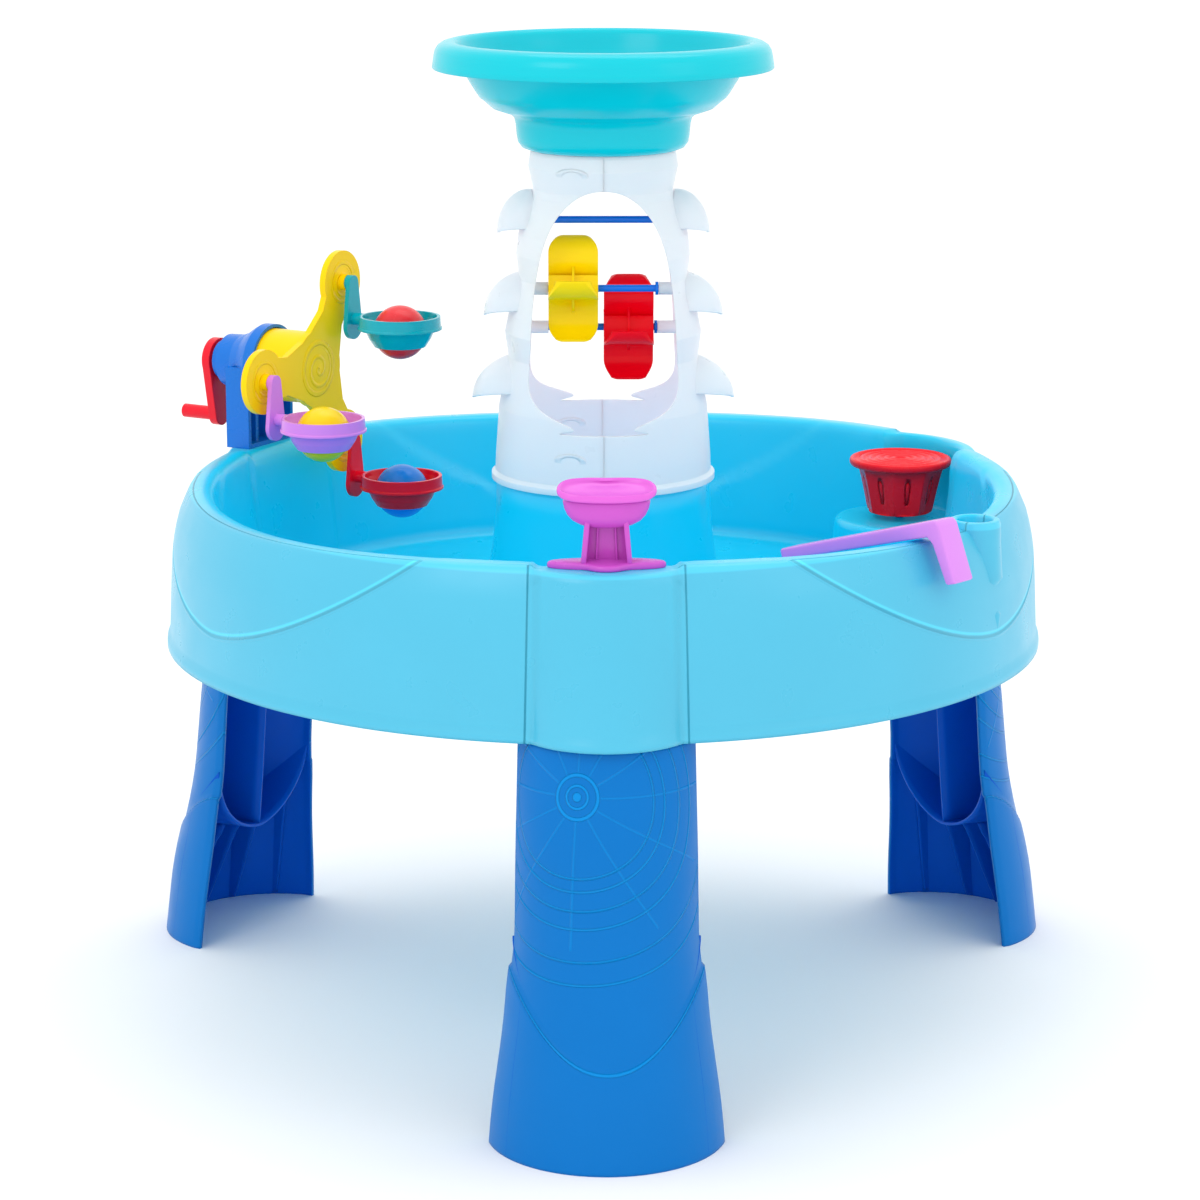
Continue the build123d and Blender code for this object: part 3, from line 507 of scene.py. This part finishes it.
def tub_rows():
    """Profile of the tub from the top of its column to the bottom of its skirt."""
    rows = [(0, 458.4), (60, 458.4), (86, 458.4), (89.5, 457.6), (91, 455), (91.5, 440), (92.5, 420), (95, 402),
            (98, 384), (101, 366), (103.4, 352), (106, 345), (110.5, 342), (117, 341)]
    floor = (150, 185, 200.5, 203.5, 206.5, DRAIN_OUT, 213.5, 216.5, 219.5, 240, 275, 300)
    rows += [(r, FLOOR_Z) for r in floor] + [(309, 341.4), (314, 343.2), (317.6, 347)]
    inner = [354, 361, 368, 375, 382, 388.6, 390.4, 392, 396, 402, 408, 414, 420, 426, 432, 438, 443]
    rows += [(mix(318, 332, (z - 346) / 103), z) for z in inner]
    rows += [(332, 447.6), (333, 451), (335.2, 453.8), (338.5, 455), (342, 455.2)]
    return rows


def make_tub():
    """Turned profile pushed out into three lobes and one open bay, with its drain and socket holes cut."""
    rows = tub_rows()
    outer = {}
    for r, z, share, lobe_z in UPPER:
        outer[len(rows)] = ("shelf", share, lobe_z)
        rows.append((r, z))
    for r, z, inset, lobe_z in SHOULDER:
        outer[len(rows)] = ("wall", inset, lobe_z)
        rows.append((r, z))
    for k in range(WALL_ROWS):
        t = k / (WALL_ROWS - 1)
        z = mix(434, 332, t)
        outer[len(rows)] = ("wall", 0.0, mix(449, 332, t))
        rows.append((along(RING_TABLE, z), z))
    for r, z, inset in BEAD:
        outer[len(rows)] = ("wall", inset, z)
        rows.append((r, z))
    bm = spun(rows, 600)
    known = {}
    gone = []
    for v in bm.verts:
        r, z = hypot(v.co.x, v.co.y), v.co.z
        if r < 280:
            continue
        near = (round(r * 4), round(z * 4))
        if near not in known:
            known[near] = min(range(len(rows)), key=lambda n: abs(rows[n][0] - r) + abs(rows[n][1] - z))
        k = known[near]
        azimuth = degrees(atan2(v.co.y, v.co.x))
        off, lobe = off_lobe(azimuth)
        delta = radians(off)
        wave = 3.4 * cos(radians(3 * off)) * ramp(z, 395, 450)
        top = lobe_outline(delta, RIM_Z)
        weight = ramp(top, 353.0, 358.5)
        new_r, new_z = r, z
        if k in outer:
            kind, inset, lobe_z = outer[k]
            if kind == "shelf":
                open_here = lobe == REAR_RIGHT and abs(off) < BAY_HALF
                start = max(345, bay_outline(delta) + 6.5) if open_here else 345
                new_r = mix(r, mix(start, max(top - 5, start + 1), inset), weight)
                new_z = mix(z, lobe_z, weight)
            else:
                new_r = soft_max(r, lobe_outline(delta, lobe_z) - inset, 1.8)
                new_z = mix(z, lobe_z, weight)
            new_z += wave * (1 - weight)
        else:
            if lobe == REAR_RIGHT and z > BAY_FLOOR_Z - 0.5 and abs(off) < BAY_HALF:
                reach = bay_outline(delta)
                if z < BAY_FLOOR_Z + 1 and r < 330:
                    new_z = BAY_FLOOR_Z
                    new_r = max(reach - 1.2, r)
                elif r > 331.9 and z > 447:
                    new_r = max(reach + (r - 332) * 0.55, r)
                else:
                    new_r = max(reach, r)
            elif lobe != REAR_RIGHT and z > 347.5:
                panel = 58.5 / max(abs(sin(delta)), 1e-6)
                new_r -= 2.6 * ramp(panel - r, -1.5, 2.5) * ramp(z, 347, 352) * ramp(456 - z, 2, 12)
            if z > 347.5:
                drop = 365 + 90 * (abs(60 - abs(off)) / 38) ** 1.9
                new_r -= 1.6 * ramp(drop - z, -2.2, 2.2) * ramp(abs(off), 10, 12)
            new_z += wave * (1 if weight < 0.01 else 1 - weight)
        v.co = (new_r * cos(radians(azimuth)), new_r * sin(radians(azimuth)), new_z)
    azimuth = radians(SOCKET_AZIMUTH)
    spot = Vector((SOCKET_OUT * cos(azimuth), SOCKET_OUT * sin(azimuth)))
    for face in bm.faces:
        c = face.calc_center_median()
        if (c.xy - spot).length < 17.5 and c.z > 390:
            gone.append(face)
        elif (c.xy - Vector((DRAIN_OUT, 0))).length < DRAIN_HOLE:
            gone.append(face)
    bmesh.ops.delete(bm, geom=gone, context="FACES")
    return bm


def make_island():
    """Platform under the spinner, with a rounded top edge."""
    bm = spun([(4.2, 390), (30, 390.2), (52, 390.2), (56, 389.6), (58, 387.2), (58.8, 384), (60.6, 350),
               (62, 345), (66, 341.2)], 96)
    bmesh.ops.translate(bm, verts=bm.verts, vec=(ISLAND_OUT, 0, 0))
    bmesh.ops.transform(bm, matrix=Matrix.Rotation(radians(REAR_RIGHT), 4, "Z"), verts=bm.verts)
    return bm


SOCKET_BOSS = ((367, 2.0, 368.0), (380, 9.0, 362.0), (395, 14.5, 356.5), (410, 18.5, 352.5), (425, 20.5, 349.0),
               (440, 21.4, 347.2), (453, 21.2, 347.0))


def make_socket():
    """Round socket through the rim, a raised ring round its mouth and a boss that runs out down the skirt."""
    boss = [(radius, z) for z, radius, centre in SOCKET_BOSS]
    mouth = [(0.0, 389), (SOCKET_BORE, 389), (SOCKET_BORE, 455.6), (15.2, 457), (16.6, 457.8), (18.4, 457.8),
             (20.2, 457)]
    bm = spun(mouth + boss[::-1] + [(0, 365.6)], 64)
    centres = [(z, centre) for z, radius, centre in SOCKET_BOSS]
    for v in bm.verts:
        bored = hypot(v.co.x, v.co.y) < SOCKET_BORE + 0.1 and v.co.z > 388
        v.co.x += SOCKET_OUT if bored else along(centres, v.co.z)
    bmesh.ops.transform(bm, matrix=Matrix.Rotation(radians(SOCKET_AZIMUTH), 4, "Z"), verts=bm.verts)
    return bm


piece("tub_shell", make_tub(), tub_polyethylene, "table", ["basin"], wall=3.2, edge=50)
piece("tub_island", make_island(), tub_polyethylene, "table", [], edge=50)
piece("tub_socket", make_socket(), tub_polyethylene, "table", [], edge=50)

# --- legs -------------------------------------------------------------------------------
LEG_HALF = ((0, 93), (30, 90.5), (66, 85.2), (100, 80.6), (134, 78.2), (150, 75), (236, 71), (322, 69))
LEG_EDGE = ((0, 376), (66, 371), (137, 364), (236, 356), (322, 349))
LEG_NOSE = ((0, 451), (66, 443), (137, 424), (236, 409), (322, 391))


def leg_point(u, z):
    """Point of the leg's outside: u from -1 to 1 goes round from one free edge to the other."""
    def read(table):
        low = along(table, z - 14)
        high = along(table, z + 14)
        return (low + high + along(table, z)) / 3 if 14 < z < 308 else along(table, z)

    half, corner, nose = read(LEG_HALF), read(LEG_EDGE), read(LEG_NOSE)
    bow = nose - corner
    radius = (half * half + bow * bow) / (2 * bow)
    middle = nose - radius
    reach = atan2(half, corner - middle)
    bend = 0.93
    angle = reach * min(max(u / bend, -1), 1)
    out = Vector((cos(angle), sin(angle)))
    spot = Vector((middle, 0)) + out * radius
    if abs(u) > bend:
        spot.x -= 7.0 * (abs(u) - bend) / (1 - bend)
    boot = BOOT_Z + BOOT_RISE * (min(abs(spot.y), 78) / BOOT_HALF) ** BOOT_POWER
    above = ramp(z - boot, -1.6, 1.6)
    spot -= out * (2.3 * above * (1 - ramp(z, 150, 250)))
    return Vector((spot.x, spot.y, z))


def shelf_level(u):
    """Height of the scooped shelf inside a leg."""
    return 92 + 78 * abs(u) ** 1.7


def make_leg_shell():
    """Outside of a leg, open on the side that faces the tub's axis."""
    bm = bmesh.new()
    bmesh.ops.create_grid(bm, x_segments=110, y_segments=120, size=1.0)
    for v in bm.verts:
        v.co = leg_point(v.co.x, mix(0, 321.5, (v.co.y + 1) / 2))
    return bm


WEB_INSET = Vector((-1.5, 0, 0))      # shelf and ribs end inside the wall, short of its outer face


def make_leg_inside():
    """Scooped shelf and upright ribs inside a leg, flush with its open side."""
    parts = []
    shelf = bmesh.new()
    bmesh.ops.create_grid(shelf, x_segments=60, y_segments=8, size=1.0)
    for v in shelf.verts:
        u, t = v.co.x * 0.93, (v.co.y + 1) / 2
        level = shelf_level(u)
        far = leg_point(u, level)
        near = Vector((min(far.x, along(LEG_EDGE, level) - 5), far.y, level + 3))
        v.co = near.lerp(far + WEB_INSET, t)
    parts.append((shelf, 2.4))
    for u in (-0.66, -0.36, -0.12, 0.12, 0.36, 0.66):
        rib = bmesh.new()
        bmesh.ops.create_grid(rib, x_segments=24, y_segments=6, size=1.0)
        for v in rib.verts:
            top = shelf_level(u)
            level = mix(1.6, top, (v.co.x + 1) / 2)
            t = (v.co.y + 1) / 2
            far = leg_point(u, level)
            depth = mix(far.x - 9, mix(far.x, along(LEG_EDGE, level), 0.6), min(level / top, 1))
            near = Vector((min(depth, far.x - 2), far.y, level))
            v.co = near.lerp(far + WEB_INSET, t)
        parts.append((rib, 2.2))
    rib = bmesh.new()
    bmesh.ops.create_grid(rib, x_segments=24, y_segments=6, size=1.0)
    for v in rib.verts:
        level = mix(93, 319, (v.co.x + 1) / 2)
        t = (v.co.y + 1) / 2
        far = leg_point(0.0, level)
        near = Vector((along(LEG_EDGE, level) - 3, 0, level))
        v.co = near.lerp(far + WEB_INSET, t)
    parts.append((rib, 2.2))
    return parts


# Inside of the legs: the same plastic without its pattern, in a darker blue that paints the shade inside the shell.
leg_inside = plastic("leg_inside_polyethylene", "0058C4", 0.36, shade=0.04, cloud=80, edge=0.8, glow=0.03,
                     gloss=0.1)

for azimuth, label, cad in ((FRONT, "front", "leg_front"), (REAR_RIGHT, "rear_right", "leg_rear_right"),
                            (REAR_LEFT, "rear_left", "leg_rear_left")):
    # Legs: injection-moulded polyethylene, a deep satin blue with a moulded shell pattern whose raised lines carry
    # a painted highlight.
    finish = plastic("leg_polyethylene_" + label, "0070BE", 0.34, shade=0.04, cloud=80, edge=1.2, glow=0.03,
                     relief=leg_relief(azimuth), gloss=0.12)
    leg_shell = piece("leg_shell_" + label, make_leg_shell(), finish, "table", [cad], azimuth, wall=3.4, edge=50)
    leg_shell.data.materials.append(leg_inside)
    leg_shell.modifiers["wall"].material_offset = 1
    for k, (part, thick) in enumerate(make_leg_inside()):
        piece(f"leg_web_{label}_{k}", part, leg_inside, "table", [], azimuth, wall=thick, inward=0, edge=50)


# --- funnel -----------------------------------------------------------------------------
def make_funnel():
    """Bowl with a rolled lip above a stepped neck: up the outside, over the lip and down the inside."""
    rows = ((7, 741.5), (60, 742.5), (66, 744.5), (69, 748), (70, 756), (71.2, 766), (73.5, 769.6),
            (78, 771.6), (90, 775.8), (96, 779), (100, 783.5), (104, 790), (110, 799), (115.5, 808.5),
            (119.3, 818), (121.2, 824.6), (123.2, 827.8), (126.2, 829.1), (130, 828.8), (134.5, 827.6),
            (138.2, 825.2), (140.6, 821.4), (141.6, 817), (142.4, 812), (143, 807.2), (142.4, 806.4),
            (141.2, 806.6), (140.2, 811), (138.6, 817), (136, 822.5), (130, 825.4), (125.5, 824.2),
            (122.7, 817), (113, 797), (106.5, 786.6), (103.5, 782.4), (100.5, 780.2), (93, 773.6),
            (85, 770.8), (78, 768.6), (74.6, 765.4), (73.4, 760), (72.6, 751), (71.6, 745.4), (68.5, 741),
            (63, 738.8), (7, 738.5), (7, 741.5))
    return spun(rows, 160)


piece("funnel_bowl", make_funnel(), funnel_gloss, "table", ["funnel"], edge=55)

# --- launcher -----------------------------------------------------------------------------
LAUNCHER_OUT = 341.0
# Flap: the launcher's own glossy polypropylene, in a lighter pink that paints the highlight on its lip and upward
# face.
flap_painted_light = plastic("launcher_flap_painted_light_pink", "DC62D2", 0.22, shade=0.04, glow=0.03, gloss=0.4)


def shaped(rows, steps, outline, middle):
    """Closed turned shape whose radius, given as a share of the outline plus millimetres, follows an outline."""
    bm = spun([(share + 0.0001 * k, k) for k, (share, *_) in enumerate(rows)], steps)
    for v in bm.verts:
        row = rows[int(round(v.co.z))]
        angle = atan2(v.co.y, v.co.x)
        reach = row[0] * outline(angle) + row[1] if row[0] > 0 else 0.0
        v.co = (middle + reach * cos(angle), reach * sin(angle), row[2])
    return bm


def tray_outline(angle):
    """Rounded flap: narrow at the hinge, broad and arched at the front."""
    half = mix(28, 39.0, ramp(cos(angle), -0.55, 0.2))
    depth = 18.5 if cos(angle) > 0 else 13.0
    return 1 / ((abs(cos(angle)) / depth) ** 2.8 + (abs(sin(angle)) / half) ** 2.8) ** (1 / 2.8)


def foot_outline(angle):
    """Two wings with a short tongue towards the outside."""
    wing = 1 / ((cos(angle) / 12.5) ** 2 + (sin(angle) / 46.0) ** 2) ** 0.5
    tongue = 1 / ((cos(angle) / 21.0) ** 2 + (sin(angle) / 19.0) ** 2) ** 0.5
    return soft_max(wing, tongue if cos(angle) > 0 else 14.0, 5.0)


def bowl_outline(angle):
    """Plain oval, long side to side."""
    return 1 / ((cos(angle) / 15.0) ** 2 + (sin(angle) / 33.5) ** 2) ** 0.5


def make_rib(low, high, lean, bevel):
    """Box between two corners, its foot spread sideways by lean, with rounded edges."""
    bm = bmesh.new()
    bmesh.ops.create_cube(bm, size=1.0)
    for v in bm.verts:
        v.co = [mix(a, b, c + 0.5) for a, b, c in zip(low, high, v.co)]
        if v.co.z < (low[2] + high[2]) / 2:
            v.co.y += lean * (1 if v.co.y > (low[1] + high[1]) / 2 else -1)
    bmesh.ops.bevel(bm, geom=bm.edges[:], offset=bevel, offset_type="OFFSET", segments=2, profile=0.5,
                    affect="EDGES", material=-1)
    return bm


tray_rows = ((0, 0, 509.3), (0.5, 0, 508.9), (0.86, 0, 508.5), (0.95, 0, 508.9), (1.0, -0.4, 510.2),
             (1.0, 0, 512.2), (1.0, -0.3, 514.0), (1.0, -1.4, 514.8), (1.0, -2.8, 514.4), (1.0, -3.9, 513.0),
             (0.9, -1.8, 511.9), (0.72, 0, 511.2), (0.4, 0, 511.0), (0, 0, 511.0))
flap = shaped(tray_rows, 128, tray_outline, LAUNCHER_OUT + 0.6)
for v in flap.verts:
    v.co.z += 8.5 * ramp(v.co.x, LAUNCHER_OUT + 17, LAUNCHER_OUT - 13) + 1.6 * (v.co.y / 38) ** 2
piece("launcher_flap", flap, flap_painted_light, "launcher", ["launcher_tray"], FRONT, edge=60)
flap_web = make_rib((LAUNCHER_OUT - 17, -20.5, 509.8), (LAUNCHER_OUT - 9, 20.5, 512.2), 0.0, 0.7)
piece("launcher_flap_web", flap_web, magenta_gloss, "launcher", [], FRONT, edge=60)
knuckle = spun([(0, -21), (2.4, -21), (3, -20.4), (3, 20.4), (2.4, 21), (0, 21)], 32)
knuckle.transform(Matrix.Translation((LAUNCHER_OUT - 17, 0, 511)) @ Matrix.Rotation(pi / 2, 4, "X"))
piece("launcher_flap_knuckle", knuckle, magenta_gloss, "launcher", [], FRONT, edge=60)

bowl_rows = ((0, 0, 486.4), (0.35, 0, 486.9), (0.6, 0, 488.8), (0.78, 0, 492.0), (0.9, 0, 496.4),
             (0.97, 0, 501.4), (1.0, 0, 506.0), (1.0, 0, 507.6), (1.0, -0.7, 508.2), (1.0, -1.9, 508.0),
             (0.93, 0, 502.0), (0.8, 0, 496.5), (0.6, 0, 492.4), (0.3, 0, 490.4), (0, 0, 490.0))
bowl = shaped(bowl_rows, 96, bowl_outline, LAUNCHER_OUT - 1)
piece("launcher_tub", bowl, magenta_gloss, "table", ["launcher_base"], FRONT, edge=60)
foot_rows = ((0, 0, 455.2), (1.0, -0.6, 455.2), (1.0, 0, 456.2), (1.0, -0.4, 458.6), (1.0, -1.6, 459.8),
             (1.0, -3.6, 460.2), (0.6, 0, 460.6), (0, 0, 460.8))
foot = shaped(foot_rows, 128, foot_outline, LAUNCHER_OUT - 2)
piece("launcher_foot", foot, magenta_gloss, "table", [], FRONT, edge=60)
stem = make_rib((LAUNCHER_OUT - 9.5, -14.5, 459.5), (LAUNCHER_OUT - 5.5, 14.5, 494), 3.5, 1.0)
piece("launcher_stem_back", stem, magenta_gloss, "table", [], FRONT, edge=60)
for side in (-14.6, -6.5, 6.5, 14.6):
    reach, half = (8.5, 2.0) if abs(side) > 10 else (-2.5, 0.9)
    web = make_rib((LAUNCHER_OUT - 8, side - half, 459.5), (LAUNCHER_OUT + reach, side + half, 494), 0.0, 0.8)
    for v in web.verts:
        v.co.y += (494 - v.co.z) * 0.09 * side / 14.6
    piece(f"launcher_stem_rib_{side:.0f}".replace("-", "m"), web, magenta_gloss, "table", [], FRONT, edge=60)
for side in (-24.5, 24.5):
    ear = make_rib((LAUNCHER_OUT - 20, side - 2, 497), (LAUNCHER_OUT - 14.6, side + 2, 514), 0.0, 1.0)
    piece("launcher_ear_" + ("left" if side < 0 else "right"), ear, magenta_gloss, "table", [], FRONT, edge=60)

# --- spinner --------------------------------------------------------------------------------
SPIN_R = 45.5


def make_spinner_disc():
    """Disc with a raised lip and five low rings, all edges rounded."""
    rows = [(4.1, 437.6), (SPIN_R - 4, 437.6), (SPIN_R - 1.2, 438.2), (SPIN_R, 440.2), (SPIN_R, 442.6),
            (SPIN_R - 0.8, 444.2), (SPIN_R - 2.4, 444.9), (SPIN_R - 4.0, 444.4), (SPIN_R - 5.0, 443.0)]
    for k in range(5):
        crest = 35.0 - 7.0 * k
        rows += [(crest + 2.4, 443.0), (crest + 1.2, 444.2), (crest - 0.4, 444.7), (crest - 1.8, 444.0),
                 (crest - 2.8, 443.0)]
    return spun(rows + [(0, 443.4)], 96)


def make_spinner_body():
    """Fluted cup under the disc: eight scallops with narrow ribs between them, fading out at the top."""
    bm = spun([(25.6, 396.4), (27.6, 395.6), (29.2, 396.6), (30.2, 400), (31.8, 408), (33.6, 416), (35.4, 424),
               (37.2, 431), (38.8, 436), (40.0, 438.4), (36, 438.4), (34.6, 434), (31.4, 420), (28.2, 406),
               (25.6, 396.4)], 192)
    for v in bm.verts:
        out = Vector((v.co.x, v.co.y))
        flute = 3.2 * abs(sin(4 * atan2(v.co.y, v.co.x))) ** 0.9 * ramp(v.co.z, 439, 434)
        if out.length > 28.6 + (v.co.z - 396) * 0.16:
            v.co.xy = out * (1 - flute / out.length)
    return bm


hub = spun([(4.1, 394.2), (6.5, 394.2), (6.5, 438), (4.1, 438), (4.1, 394.2)], 32)
for label, shape, cad in (("disc", make_spinner_disc(), ["spinner"]), ("body", make_spinner_body(), []),
                          ("hub", hub, [])):
    shape.transform(Matrix.Translation((ISLAND_OUT, 0, 0)))
    piece("spinner_" + label, shape, spinner_gloss, "spinner", cad, REAR_RIGHT, edge=50)

# --- flip lever -------------------------------------------------------------------------------
LEVER_AZIMUTH, LEVER_OUT, LEVER_Z, LEVER_SLOPE = -43, 345.0, 461.5, 16.0


def make_lever():
    """Bent trough with rounded edges: long arm dipping into the tub, short tab leaning down outside."""
    bm = bmesh.new()
    side = ((-142, 5.2), (19, 6.2), (24.5, 5.6), (27, 1.5), (31.4, -46), (21.4, -46), (16, -12), (12, -6),
            (-142, -4.5))
    ring = [bm.verts.new((x, -12.2, z)) for x, z in side]
    face = bm.faces.new(ring)
    grown = bmesh.ops.extrude_face_region(bm, geom=[face])
    bmesh.ops.translate(bm, verts=[g for g in grown["geom"] if isinstance(g, bmesh.types.BMVert)], vec=(0, 24.4, 0))
    bmesh.ops.bevel(bm, geom=bm.edges[:], offset=2.0, offset_type="OFFSET", segments=3, profile=0.5,
                    affect="EDGES", material=-1)
    sunk = Matrix.Rotation(radians(-LEVER_SLOPE), 4, "Y")
    bm.transform(Matrix.Translation((LEVER_OUT, 0, LEVER_Z)) @ sunk)
    return bm


piece("lever_trough", make_lever(), lever_gloss, "lever", ["flip_lever"], LEVER_AZIMUTH, edge=60)

# --- carried-over pieces ------------------------------------------------------------------
CARRIED = {
    "drain_plug": navy_satin, "leg_screws": zinc_steel, "tower_left_half": tower_white,
    "tower_right_half": tower_white, "top_rod": rod_blue, "upper_axle": rod_blue, "lower_axle": rod_blue,
    "water_wheel_yellow": yellow_gloss, "water_wheel_red": red_gloss, "crank_bracket": blue_gloss,
    "bracket_screws": zinc_steel, "cup_spider": spider_gloss, "crank_handle": crank_gloss,
    "cup_teal": teal_gloss, "cup_purple": purple_gloss, "cup_red": cup_red_gloss, "ball_red": ball_red_gloss,
    "ball_yellow": ball_yellow_gloss, "ball_blue": ball_blue_gloss, "launcher_pin": navy_satin,
    "lever_pin": navy_satin, "spinner_post": navy_satin,
}
for name, finish in CARRIED.items():
    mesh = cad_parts[name].data
    mesh.materials.clear()
    mesh.materials.append(finish)

# --- studio -------------------------------------------------------------------------------
scene = bpy.context.scene
scene.view_settings.view_transform = "Standard"
floor_mesh = bmesh.new()
bmesh.ops.create_grid(floor_mesh, x_segments=2, y_segments=2, size=12.0)
mesh = bpy.data.meshes.new("studio_floor")
floor_mesh.to_mesh(mesh)
floor_mesh.free()
floor = bpy.data.objects.new("studio_floor", mesh)
scene.collection.objects.link(floor)
paper = bpy.data.materials.new("studio_paper_white")
paper.use_nodes = True
paper.node_tree.nodes["Principled BSDF"].inputs["Base Color"].default_value = (0.98, 0.98, 0.98, 1)
paper.node_tree.nodes["Principled BSDF"].inputs["Roughness"].default_value = 0.9
mesh.materials.append(paper)

world = bpy.data.worlds.new("studio")
scene.world = world
world.use_nodes = True
world.node_tree.nodes["Background"].inputs["Color"].default_value = (1, 1, 1, 1)
world.node_tree.nodes["Background"].inputs["Strength"].default_value = 1.12


def softbox(name, place, aim, size, power):
    """Rectangular area light at a place in metres, turned to face a point."""
    data = bpy.data.lights.new(name, "AREA")
    data.shape = "RECTANGLE"
    data.size, data.size_y = size
    data.energy = power
    lamp = bpy.data.objects.new(name, data)
    scene.collection.objects.link(lamp)
    lamp.location = place
    lamp.rotation_euler = (Vector(aim) - Vector(place)).to_track_quat("-Z", "Y").to_euler()


softbox("key_softbox", (-1.6, -2.2, 2.6), (0, 0, 0.45), (1.4, 1.4), 14)
softbox("fill_softbox", (2.2, -1.6, 1.8), (0, 0, 0.45), (1.2, 1.6), 4)
softbox("top_softbox", (0.2, 0.8, 3.0), (0, 0, 0.5), (2.0, 1.2), 11)

DISTANCE, HEIGHT, TILT, ORBIT = 3.176, 1.0928, 13.17, 0.45    # metres, metres, degrees, degrees
FOCAL_LENGTH = 113.45
lens = bpy.data.cameras.new("studio_camera")
lens.sensor_width = 36.0
lens.lens = FOCAL_LENGTH
lens.shift_x = -0.0026
lens.clip_end = 50
camera = bpy.data.objects.new("studio_camera", lens)
scene.collection.objects.link(camera)
camera.location = TUB + Vector((-DISTANCE * sin(radians(ORBIT)), -DISTANCE * cos(radians(ORBIT)), HEIGHT))
camera.rotation_euler = (radians(90 - TILT), 0, -radians(ORBIT))
scene.camera = camera
